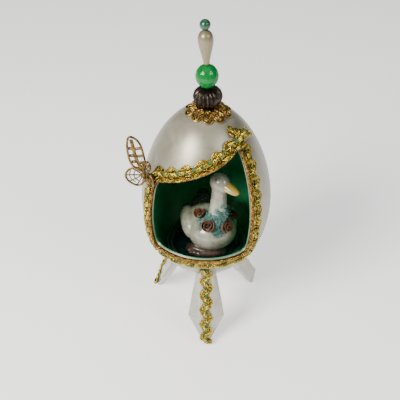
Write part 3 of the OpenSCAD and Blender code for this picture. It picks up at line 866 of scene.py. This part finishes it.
def make_goose():
    lumps = [
        ball((2.8, -9.8, -15.4), (10.8, 9.2, 8.4), GOOSE_TURN),
        ball((1.0, -3.6, -15.2), (11.2, 10.6, 8.0), GOOSE_TURN),
        ball((-0.2, 4.6, -13.4), (6.6, 7.4, 5.0), GOOSE_TURN, 18),
        ball((-1.3, 9.4, -10.9), (3.2, 3.8, 1.8), GOOSE_TURN, 30)]
    turn = Matrix.Rotation(math.radians(GOOSE_TURN), 3, "Z")
    for side in (-1, 1):
        c = Vector((1.0, -3.4, -14.2)) + turn @ Vector((side * 8.6, 1.0, 0))
        lumps.append(ball(c, (3.7, 9.6, 5.4), GOOSE_TURN + side * 4, 7))
    for i in range(12):
        t = i / 11
        r = 3.35 + 1.9 * (1 - t) ** 2.4
        place = (5.0 + 0.7 * t, -10.5 + 0.5 * math.sin(t * math.pi), -9.6 + 20.0 * t)
        lumps.append(ball(place, (r, r, 2.6)))
    lumps.append(ball(HEAD, (4.1, 4.7, 4.15), HEAD_TURN, 8))
    ahead = Vector((math.sin(math.radians(HEAD_TURN)), -math.cos(math.radians(HEAD_TURN)), 0))
    lumps.append(ball(HEAD + ahead * 2.2 + Vector((0, 0, -0.9)), (3.1, 3.0, 2.7), HEAD_TURN))
    body = join(lumps, "goose_body")
    voxel(body, 0.42, 7)
    feather_relief(body)
    finish_mesh(body, 80)
    wear(body, "goose_glaze")
    stand_for(body, "goose")
    make_bill(ahead)
    make_eyes(ahead)
    return body


def feather_relief(body):
    """Shallow overlapping feathers on the wings and a groove where each wing ends."""
    turn = Matrix.Rotation(math.radians(-GOOSE_TURN), 3, "Z")
    normals = [v.normal.copy() for v in body.data.vertices]
    for v, nrm in zip(body.data.vertices, normals):
        p = turn @ ((v.co - EGG_C) / MM - Vector((0.9, -3.0, -13.2)))
        out = abs(p.x)
        if out < 5.5 or p.z < -7.5 or p.z > 6.5 or p.y < -7.5 or p.y > 13:
            continue
        edge = (p.y / 10.5) ** 2 + ((p.z + 0.6) / 6.4) ** 2
        if edge < 1:
            row = p.z * 0.9 + 0.22 * p.y
            col = p.y * 0.55 + 0.5 * math.floor(row / 1.6 + 100)
            scallop = abs(math.sin(col * math.pi / 1.8)) * 0.9
            depth = ((row / 1.6 + scallop * 0.35) % 1.0)
            v.co += nrm * MM * (0.30 * (1 - edge) ** 0.25 - 0.17 * depth)
        elif edge < 1.25:
            v.co -= nrm * MM * 0.12
    body.data.update()


def make_bill(ahead):
    """Upper and lower bill with a nostril on each side."""
    parts = []
    flat = Vector((-ahead.y, ahead.x, 0))
    for upper in (True, False):
        verts, faces = [], []
        n, m = 16, 20
        reach = UPPER_BILL if upper else LOWER_BILL
        for i in range(n + 1):
            t = i / n
            wide = (2.35 - 1.05 * t + 0.35 * math.sin(t * math.pi)) * (1 - max(0, t - 0.86) ** 2 * 30)
            thick = 1 - 0.3 * t
            drop = 0.75 + 1.1 * t
            if upper:
                thick = (2.0 - 1.1 * t) * (1 - max(0, t - 0.88) ** 2 * 30)
                drop = 1.4 * t
            mid = HEAD + ahead * (3.0 + reach * t) - Vector((0, 0, drop))
            for j in range(m):
                a = j * 2 * math.pi / m
                up = math.sin(a)
                h = thick * (up if up > 0 or not upper else up * 0.35)
                verts.append(mid + flat * wide * math.cos(a) + Vector((0, 0, h)))
        for i in range(n):
            for j in range(m):
                a, b = i * m + j, i * m + (j + 1) % m
                faces.append((a, b, b + m, a + m))
        faces += [tuple(range(m - 1, -1, -1)), tuple(range(n * m, (n + 1) * m))]
        parts.append(finish_mesh(from_rings("bill_half", verts, faces), 60))
    bill = join(parts, "goose_bill")
    for side in (-1, 1):
        place = HEAD + ahead * 5.6 + flat * side + Vector((0, 0, 0.75))
        hole = ball(place, (0.36, 0.5, 0.6), HEAD_TURN, 0, 12, 8)
        apply_modifier(bill, "BOOLEAN", object=hole, operation="DIFFERENCE", solver="EXACT")
        bpy.data.objects.remove(hole)
    finish_mesh(bill, 60)
    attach(wear(bill, "bill_glaze"), "root")


def make_eyes(ahead):
    flat = Vector((-ahead.y, ahead.x, 0))
    eyes = []
    for side in (-1, 1):
        place = HEAD + ahead * -0.1 + flat * side * 3.05 + Vector((0, 0, 2.65))
        eyes.append(ball(place, (0.5, 0.42, 0.95), HEAD_TURN, 0, 24, 16))
    pair = finish_mesh(join(eyes, "goose_eyes"), 80)
    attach(wear(pair, "black_gloss"), "root")


def make_ground():
    """Lumpy glazed ground, an oval of small mounds."""
    c = (centre("goose_ground") - EGG_C) / MM
    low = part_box("goose_ground")[0]
    z0 = (low[2] - EGG_C.z) / MM
    lumps = [ball((c.x, c.y, z0 + 1.0), (9.4, 5.2, 2.4)),
             ball((c.x, c.y + 0.6, z0 + 2.4), (7.4, 4.2, 3.4))]
    for i in range(22):
        a = i * 2 * math.pi / 22
        r = random.uniform(1.3, 2.0)
        place = (c.x + 8.2 * math.cos(a), c.y + 3.9 * math.sin(a), z0 + random.uniform(0.6, 1.1))
        lumps.append(ball(place, (r, r, random.uniform(0.9, 1.6)), 0, 0, 16, 10))
    ground = join(lumps, "lumpy_ground")
    voxel(ground, 0.3, 4)
    edit(ground, bpy.ops.mesh.bisect, plane_co=(0, 0, low[2]), plane_no=(0, 0, 1), use_fill=True,
         clear_inner=True)
    finish_mesh(ground, 60)
    stand_for(wear(ground, "ground_glaze"), "goose_ground")


# Degrees round the goose, degrees of lift, distance from CHEST, share of the full size
ROSES = {"rose_left": (-59, 61, 11.8, 0.8), "rose_breast_left": (-9, 43, 13.3, 1.0),
         "rose_breast_right": (38, 35, 13.5, 0.94), "rose_right": (81, 39, 12.2, 0.8)}
ROSE_D = 6.2


def rose_way(turn, lift):
    a, e = math.radians(turn), math.radians(lift)
    return Vector((math.sin(a) * math.cos(e), -math.cos(a) * math.cos(e), math.sin(e)))


def make_rose(node, turn, lift, reach, share):
    """A ribbon rolled into a rose: a spiral wall whose rim flares, with a copper edge."""
    out = rose_way(turn, lift)
    right = Vector((math.cos(math.radians(turn)), math.sin(math.radians(turn)), 0))
    up = right.cross(out) * -1
    c = CHEST + out * (reach + 0.7)
    d = ROSE_D * share
    turns, n, rows = 2.6, 130, 5
    verts, faces, rim, rim_r = [], [], [], []
    for i in range(n + 1):
        t = i / n
        a = t * turns * 2 * math.pi + turn
        base_r = 0.2 + d * 0.37 * t
        wave = 0.16 * math.sin(a * 2.5) * t
        for j in range(rows):
            h = j / (rows - 1)
            r = base_r + (0.1 + 0.5 * t) * h ** 2 + wave * h
            z = -1.6 + (3.1 - 1.3 * t) * h + 0.15 * math.sin(a * 1.7) * h
            verts.append(c + right * r * math.cos(a) + up * r * math.sin(a) + out * z)
        rim.append(verts[-1])
        rim_r.append(0.16 + 0.20 * t ** 2)
    for i in range(n):
        for j in range(rows - 1):
            a = i * rows + j
            faces.append((a, a + 1, a + rows + 1, a + rows))
    petals = from_rings(node + "_petals", verts, faces, [0] * len(faces))
    finish_mesh(petals, 80, merge=False)
    apply_modifier(petals, "SOLIDIFY", thickness=0.24 * MM, offset=0)
    b = Bundle()
    b.thread(rim, rim_r, 1, sides=8, lobes=2, depth=0.15, pitch=1.1)
    edge = b.mesh(node + "_edge")
    rose = wear(join([petals, edge], "rolled_" + node), "rose_ribbon", "rose_edge")
    stand_for(rose, node)


def on_goose(body, start, way):
    """The place and the normal where a line from inside the goose comes out of it."""
    origin, way = world(start), Vector(way).normalized()
    best = None
    for _ in range(4):
        hit, place, normal, _ = body.ray_cast(origin, way)
        if not hit:
            break
        best = (place, normal)
        origin = place + way * 0.05 * MM
    return ((best[0] - EGG_C) / MM, best[1]) if best else None


def moss_spots(body):
    neck = Vector((5.0, -10.5, -7.4))
    rays = [(neck + Vector((0, 0, random.uniform(-0.6, 0.9))),
             Vector((math.sin(a), -math.cos(a), -0.42 * math.cos(a) + random.uniform(-0.1, 0.15))))
            for a in (i * 2 * math.pi / 44 for i in range(44))]
    for _ in range(110):                          # the bib that hangs between the two big roses
        t = random.uniform(0, 1)
        half = 3 + 30 * t ** 0.8
        rays.append((CHEST, rose_way(15 + random.uniform(-half, half), 25 + 40 * t)))
    for a, b in (((-12, 43), (-59, 61)), ((38, 35), (81, 39))):
        for _ in range(18):
            t = random.uniform(0, 1)
            rays.append((CHEST, rose_way(a[0] + (b[0] - a[0]) * t + random.uniform(-6, 6),
                                         a[1] + (b[1] - a[1]) * t + random.uniform(-4, 4))))
    return [spot for spot in (on_goose(body, *ray) for ray in rays) if spot]


def make_moss(body):
    """Tufts of moss round the neck, down the breast and under the roses."""
    spots = moss_spots(body)
    lumps = []
    for p, _ in spots:
        r = random.uniform(0.55, 0.95)
        lumps.append(ball(p, (r, r, r), 0, 0, 10, 6))
    pad = voxel(join(lumps, "moss_pad"), 0.3, 1)
    b = Bundle()
    for p, nrm in spots:
        for _ in range(13):
            v = Vector([random.gauss(0, 1) for _ in range(3)]).normalized()
            way = (nrm * 0.75 + v).normalized()
            start = p + v * 0.6
            reach = random.uniform(0.7, 1.3)
            end = start + way * reach + Vector((0, 0, -0.3)) + v * 0.2
            line = smooth_line([start, start + way * reach * 0.55, end], 0.4)
            b.thread(line, np.linspace(0.17, 0.06, len(line)), sides=4)
    moss = finish_mesh(join([pad, b.mesh("moss_tufts")], "moss_wreath"), 60, merge=False)
    stand_for(wear(moss, "moss_fibre"), "moss_collar")


# ---------------------------------------------------------------- finial
FINIAL_X = 0.8
LEAN = 2.0
PETALS = 10


def finial_point(x, y, z):
    """A point of the bead stack, in mm above the shell's tip, on the leaning axis."""
    p = Matrix.Rotation(math.radians(-LEAN), 3, "Y") @ Vector((x, y, z))
    return p + Vector((FINIAL_X, 0, EGG_B))


def lathe(name, profile, segments, shape=None):
    """A turned piece on the finial's axis. shape(angle, share) scales the radius."""
    verts, faces = [], []
    n = len(profile)
    for i in range(segments):
        a = i * 2 * math.pi / segments
        for j, (r, z) in enumerate(profile):
            k = shape(a, j / (n - 1)) if shape else 1
            verts.append(finial_point(r * k * math.cos(a), r * k * math.sin(a), z))
    for i in range(segments):
        a, b = i * n, ((i + 1) % segments) * n
        faces += [(a + j, b + j, b + j + 1, a + j + 1) for j in range(n - 1)]
        faces.append((a + n - 1, b + n - 1, b, a))
    return finish_mesh(from_rings(name, verts, faces), 40)


BORE = 0.45
FLUTED_Z, FLUTED_H, FLUTED_D = 0.75, 7.8, 12.0
FACETED_Z, FACETED_H, FACETED_D = 8.65, 10.0, 9.5
CUTS, CUT_ROWS = 14, 9               # facets round the cut bead, and its rows
DROP_Z, DROP_H, DROP_D = 18.75, 14.1, 6.1
TOP_Z, TOP_D = 32.85, 4.28


def make_beads():
    r = FLUTED_D / 2
    prof = [(BORE, FLUTED_Z)]
    for i in range(31):
        a = math.radians(-84 + 168 * i / 30)
        height = FLUTED_H / 2 * (1 + math.sin(a) / math.sin(math.radians(84)))
        prof.append((max(r * math.cos(a) ** 0.62, BORE + 0.5), FLUTED_Z + height))
    prof.append((BORE, FLUTED_Z + FLUTED_H))

    def flute(a, s):
        groove = abs(math.cos(a * 10)) ** 1.6
        fade = math.sin(math.pi * min(max(s, 0.04), 0.96)) ** 0.4
        return 1 - 0.13 * fade * (1 - groove)
    fluted = lathe("fluted_body", prof, 240, flute)
    stand_for(wear(fluted, "antique_bronze"), "fluted_bead")

    clear()
    bpy.ops.mesh.primitive_uv_sphere_add(segments=CUTS, ring_count=CUT_ROWS, radius=1)
    gem = named("cut_bead")
    for v in gem.data.vertices:
        ring_turn = round(math.acos(max(-1, min(1, v.co.z))) / math.pi * CUT_ROWS)
        flat = math.hypot(v.co.x, v.co.y)
        a = math.atan2(v.co.y, v.co.x) + (ring_turn % 2) * math.pi / CUTS
        r_ = flat * FACETED_D / 2
        v.co = world(finial_point(r_ * math.cos(a), r_ * math.sin(a),
                                  FACETED_Z + FACETED_H / 2 * (1 + v.co.z * 0.995)))
    gem.data.update()
    edit(gem, bpy.ops.mesh.quads_convert_to_tris, quad_method="SHORTEST_DIAGONAL")
    apply_modifier(gem, "BEVEL", width=0.07 * MM, segments=1)
    finish_mesh(gem, 5)
    stand_for(wear(gem, "emerald_glass"), "faceted_bead")

    r = DROP_D / 2
    sides = [(0, 0.36), (0.02, 0.41), (0.12, 0.46), (0.28, 0.62), (0.44, 0.80), (0.56, 0.92),
             (0.66, 0.985), (0.73, 1.0), (0.80, 0.975), (0.86, 0.90), (0.91, 0.78), (0.95, 0.62),
             (0.98, 0.43), (1, 0.22)]
    curve = smooth_line([(DROP_H * a, r * b, 0) for a, b in sides], 0.4)
    prof = [(BORE, DROP_Z)] + [(float(b), DROP_Z + float(a)) for a, b, _ in curve]
    prof.append((BORE, DROP_Z + DROP_H))
    stand_for(wear(lathe("pearl_drop", prof, 64), "cream_pearl"), "drop_bead")

    r = TOP_D / 2
    arc = [math.radians(w) for w in range(-72, 73, 9)]
    prof = [(BORE, TOP_Z + 0.04)] + [(r * math.cos(a), TOP_Z + r + r * math.sin(a)) for a in arc]
    prof.append((0.12, TOP_Z + TOP_D - 0.02))
    stand_for(wear(lathe("pearl_tip", prof, 48), "green_pearl"), "top_bead")
    wear(frame["nodes"]["finial_pin"], "bright_wire")
    wear(frame["nodes"]["pin_glue"], "amber_glue")


def on_top(x, y, lift):
    """A point over the egg's tip at finial offsets x and y, lifted off the shell."""
    r = math.hypot(x + FINIAL_X, y)
    low, high = EGG_B * 0.3, EGG_B
    for _ in range(40):
        mid = (low + high) / 2
        if egg_r(mid) > r:
            low = mid
        else:
            high = mid
    az = math.degrees(math.atan2(x + FINIAL_X, -y)) if r > 1e-6 else 0
    return on_egg(az, min(low, EGG_B - 0.02), lift)


def make_cap():
    """Filigree cap: ten petals of wire scrolls round a beaded ring."""
    b = Bundle()

    def wire(points, radius, closed=False):
        pts = [on_top(x, y, 0.1 + radius) for x, y in points]
        b.thread(pts, radius, sides=7, closed=closed)

    for k in range(PETALS):
        a0 = k * 2 * math.pi / PETALS - math.pi / 2

        def turn(u, v):
            return (u * math.cos(a0) - v * math.sin(a0), u * math.sin(a0) + v * math.cos(a0))

        def petal(share, n=40):
            points = []
            for i in range(n):
                t = i * 2 * math.pi / n
                half = 2.1 * share * math.sin(t) * (1 + 0.12 * math.cos(t))
                points.append(turn(6.5 + 2.75 * share * math.cos(t), half))
            return points
        wire(petal(1.0), 0.36, True)
        wire(petal(0.70), 0.22, True)
        # A dark plate behind each petal: painted shade in the gaps between the wires
        back = petal(0.96, 24)
        b.add([on_top(x, y, 0.14) for x, y in back], [tuple(range(24))], 1)
        for s in (-1, 1):
            curl = []
            for i in range(24):
                t = i / 23
                r = 0.95 * (1 - 0.75 * t)
                q = s * (t * 1.5 * 2 * math.pi + 0.6)
                curl.append(turn(6.6 + r * math.cos(q), s * 0.62 + r * math.sin(q) * 0.7))
            wire(curl, 0.19)
        wire([turn(4.8 + i * 0.42, 0.22 * math.sin(i * 0.9)) for i in range(10)], 0.22)
        b.add(*blob(on_top(*turn(8.2, 0), 0.5), 0.42))
    for r, w in ((4.4, 0.34), (5.3, 0.24)):
        angles = [i * math.pi / 48 for i in range(96)]
        wire([(r * math.cos(a), r * math.sin(a)) for a in angles], w, True)
    for k in range(16):
        a = k * 2 * math.pi / 16
        b.add(*blob(on_top(4.9 * math.cos(a), 4.9 * math.sin(a), 0.75), 0.62))
    cap = b.mesh("filigree_cap")
    dish = []
    faces = []
    rows, n = 8, 96
    for j in range(rows):
        r = 0.8 + 4.2 * j / (rows - 1)
        for i in range(n):
            a = i * 2 * math.pi / n
            dish.append(on_top(r * math.cos(a), r * math.sin(a), 0.35))
    for j in range(rows - 1):
        for i in range(n):
            faces.append((j * n + i, j * n + (i + 1) % n, (j + 1) * n + (i + 1) % n, (j + 1) * n + i))
    plate = finish_mesh(from_rings("cap_plate", dish, faces), 60)
    apply_modifier(plate, "SOLIDIFY", thickness=0.3 * MM, offset=0)
    cap = join([cap, plate], "filigree_cap")
    stand_for(wear(cap, "filigree_gold", "filigree_shade"), "bead_cap")


def blob(c, r, sides=8, rows=5):
    """Points and faces of a small bead."""
    verts, faces = [Vector(c) + Vector((0, 0, r))], []
    for j in range(1, rows):
        w = math.pi * j / rows
        for i in range(sides):
            a = i * 2 * math.pi / sides
            way = Vector((math.sin(w) * math.cos(a), math.sin(w) * math.sin(a), math.cos(w)))
            verts.append(Vector(c) + way * r)
    verts.append(Vector(c) - Vector((0, 0, r)))
    for i in range(sides):
        faces.append((0, 1 + i, 1 + (i + 1) % sides))
        for j in range(rows - 2):
            a = 1 + j * sides
            faces.append((a + i, a + sides + i, a + sides + (i + 1) % sides, a + (i + 1) % sides))
        a = 1 + (rows - 2) * sides
        faces.append((a + i, len(verts) - 1, a + (i + 1) % sides))
    return verts, faces


# ---------------------------------------------------------------- butterfly
FLY_AZ = -66.0
FLY_SPAN = 8.5
FLY_RISE = 16.5
FLY_FOLD = 13.0


def make_butterfly():
    high = high_of("butterfly")
    low = low_of("butterfly")
    body_x = (low.x - EGG_C.x) / MM + FLY_SPAN
    body_y = -body_x / math.tan(math.radians(FLY_AZ))
    body_z = (high.z - EGG_C.z) / MM - FLY_RISE
    hub = Vector((body_x, body_y, body_z))
    b = Bundle()

    def left(u, v, w=0.0):
        return hub + Vector((-u, -w, v))
    fold = math.radians(FLY_AZ + FLY_FOLD)

    def right(u, v, w=0.0):
        away = Vector((math.sin(fold), -math.cos(fold), 0)) * (w + 0.3)
        return hub + Vector((u * math.cos(fold), u * math.sin(fold), v)) + away

    def wire(place, pts, r):
        line = smooth_line([place(*p) for p in pts], 0.35)
        b.thread(line, r, sides=7, lobes=2, depth=0.12, pitch=1.1)

    # Upper wing on the left: a tall leaf, its broad vein and two rows of open cells
    rim = [(0.2, 1.2), (-0.9, 3.9), (-0.7, 7.0), (-0.2, 10.2), (0.4, 13.4), (1.6, 16.0), (3.3, 17.6),
           (4.8, 17.9), (5.7, 16.2), (6.0, 12.4), (5.6, 7.8), (4.5, 4.4), (2.6, 2.4), (0.6, 1.0)]
    wire(left, rim, 0.48)
    vein = [(0.9, 2.6), (1.9, 5.0), (2.9, 8.4), (3.5, 12.4), (4.2, 16.6)]
    for w in (-0.36, 0.0, 0.36):
        wire(left, [(u + w, v) for u, v in vein], 0.4)
    cells = (((2.4, 6.2), (5.0, 5.9)), ((3.0, 9.0), (5.7, 9.0)), ((3.5, 12.4), (6.0, 12.6)),
             ((1.8, 5.4), (-0.8, 5.6)), ((2.7, 8.6), (-0.5, 8.9)), ((3.3, 12.2), (0.1, 12.6)))
    for (u0, v0), (u1, v1) in cells:
        for lift in (-0.3, 0.3):
            middle = ((u0 + u1) / 2, (v0 + v1) / 2 + lift * 1.4)
            wire(left, [(u0, v0 + lift), middle, (u1, v1 + lift)], 0.32)
    # Lower wing on the left: a round wing with spokes
    rim = [(0.3, 1.4), (2.6, 3.0), (5.0, 2.6), (6.9, 0.9), (7.6, -1.2), (6.6, -3.6), (4.8, -5.2),
           (2.8, -6.0), (1.0, -5.2), (0.4, -3.2), (0.2, -0.8)]
    wire(left, rim, 0.48)
    for tip in ((4.6, 2.6), (7.2, -0.6), (6.2, -3.9), (3.2, -5.8)):
        wire(left, [(0.5, -0.6), (tip[0] * 0.55, tip[1] * 0.55 - 0.3), tip], 0.3)
    wire(left, [(3.2, 1.9), (4.1, 0.0), (3.8, -2.2), (2.2, -3.8)], 0.26)
    wire(left, [(5.4, 1.5), (6.0, -0.7), (5.2, -2.8), (3.6, -4.4)], 0.24)
    # The two wings that lie along the shell, with a thin plate behind the lower one's wires
    upper = [(0.5, 1.5), (1.3, 4.2), (2.6, 6.8), (4.2, 8.2), (5.4, 7.6), (5.6, 5.8), (4.4, 3.8),
             (2.4, 2.0), (0.8, 0.8)]
    upper_ribs = (((0.8, 1.2), (2.8, 4.0), (4.8, 7.0)), ((1.6, 4.4), (3.0, 3.8), (4.2, 3.8)),
                  ((2.8, 6.6), (4.2, 6.0), (5.3, 5.8)))
    lower = [(0.6, 1.0), (2.8, 2.0), (5.2, 2.4), (7.0, 1.4), (7.6, -0.8), (6.6, -2.9), (4.4, -3.6),
             (2.2, -2.6), (0.8, -0.8)]
    lower_ribs = (((0.8, 0.4), (3.4, 0.0), (7.2, -0.8)), ((1.6, -1.2), (3.2, -2.0), (5.0, -3.2)),
                  ((2.6, 1.8), (3.0, -0.4), (2.8, -2.8)), ((5.0, 2.2), (5.2, -0.4), (4.8, -3.3)))
    for rim, ribs in ((upper, upper_ribs), (lower, lower_ribs)):
        wire(right, rim, 0.46)
        for rib in ribs:
            wire(right, rib, 0.26)
    ring = lower + lower[:1]
    face = smooth_line([right(u, v, -0.1) for u, v in ring], 0.5)[:-1]
    rear = smooth_line([right(u, v, -0.3) for u, v in ring], 0.5)[:len(face)]
    n = len(face)
    ends = [tuple(range(n - 1, -1, -1)), tuple(range(n, 2 * n))]
    walls = [(i, (i + 1) % n, n + (i + 1) % n, n + i) for i in range(n)]
    b.add(np.vstack([face, rear]), ends + walls, 1)
    # Body, head and feelers
    spine = [(0, -4.0), (0, -1.5), (0, 1.0), (0, 3.6)]
    line = smooth_line([left(*p, 0.25) for p in spine], 0.3)
    girth = 0.42 + 0.38 * np.sin(np.linspace(0.15, math.pi - 0.1, len(line))) ** 0.8
    b.thread(line, girth, sides=12)
    b.add(*blob(left(0, 4.2, 0.25), 0.75, 12, 8))
    wire(left, [(0.2, 4.6), (0.9, 6.2), (0.4, 7.6)], 0.16)
    wire(right, [(0.3, 4.6), (1.6, 5.6), (3.2, 5.9)], 0.16)
    fly = b.mesh("filigree_butterfly")
    stand_for(wear(fly, "filigree_dim", "filigree_shade"), "butterfly")


# ---------------------------------------------------------------- camera, light and floor
VIEW_UP = 37.7           # degrees above the horizon
VIEW_FAR = 0.300         # from the egg's middle, m
FOCAL = 61.24            # on a 36 mm sensor
FLOOR_GLOW, AIR_GLOW = 0.72, 0.16


def make_view():
    e = math.radians(VIEW_UP)
    data = bpy.data.cameras.new("view")
    data.sensor_width = 36
    data.lens = FOCAL
    data.shift_x = -0.0155
    data.shift_y = -0.027
    data.clip_start = 0.01
    cam = bpy.data.objects.new("view", data)
    cam.location = EGG_C + Vector((0, -math.cos(e), math.sin(e))) * VIEW_FAR
    cam.rotation_euler = (math.pi / 2 - e, 0, 0)
    bpy.context.scene.collection.objects.link(cam)
    bpy.context.scene.camera = cam


def soft_light(name, place, size, power, colour=(1, 1, 1)):
    data = bpy.data.lights.new(name, "AREA")
    data.energy = power
    data.size = size
    data.color = colour
    lamp = bpy.data.objects.new(name, data)
    lamp.location = place
    lamp.rotation_euler = (EGG_C - Vector(place)).to_track_quat("-Z", "Y").to_euler()
    bpy.context.scene.collection.objects.link(lamp)


def make_studio():
    clear()
    bpy.ops.mesh.primitive_plane_add(size=3.0, location=(0, 0, -0.0001))
    floor = named("studio_floor")
    f = Finish("pale_floor", Roughness=0.8)
    f.feed(Base_Color=f.blend(f.noise(60, 2), rgb(0.93, 0.93, 0.92), rgb(0.95, 0.95, 0.94)))
    f.shader.inputs["Emission Color"].default_value = (1, 1, 1, 1)
    f.shader.inputs["Emission Strength"].default_value = FLOOR_GLOW
    floor.data.materials.append(f.material)
    air = bpy.data.worlds.new("studio")
    air.use_nodes = True
    back = air.node_tree.nodes["Background"]
    back.inputs["Color"].default_value = (1.0, 0.99, 0.97, 1)
    back.inputs["Strength"].default_value = AIR_GLOW
    bpy.context.scene.world = air
    soft_light("key", EGG_C + Vector((-0.60, -0.56, 0.62)) * 0.62, size=0.26, power=7.6,
               colour=(1.0, 0.98, 0.93))
    soft_light("fill", EGG_C + Vector((0.62, -0.50, 0.62)) * 0.62, size=0.20, power=1.3)
    soft_light("top", EGG_C + Vector((0.0, 0.25, 0.95)) * 0.75, size=0.60, power=1.5)


make_view()
make_studio()
make_shell()
make_window_trims()
for which in LEGS:
    make_leg(which)
make_floor_pieces()
goose = make_goose()
make_ground()
make_moss(goose)
for node, place in ROSES.items():
    make_rose(node, *place)
make_beads()
make_cap()
make_butterfly()

clear()
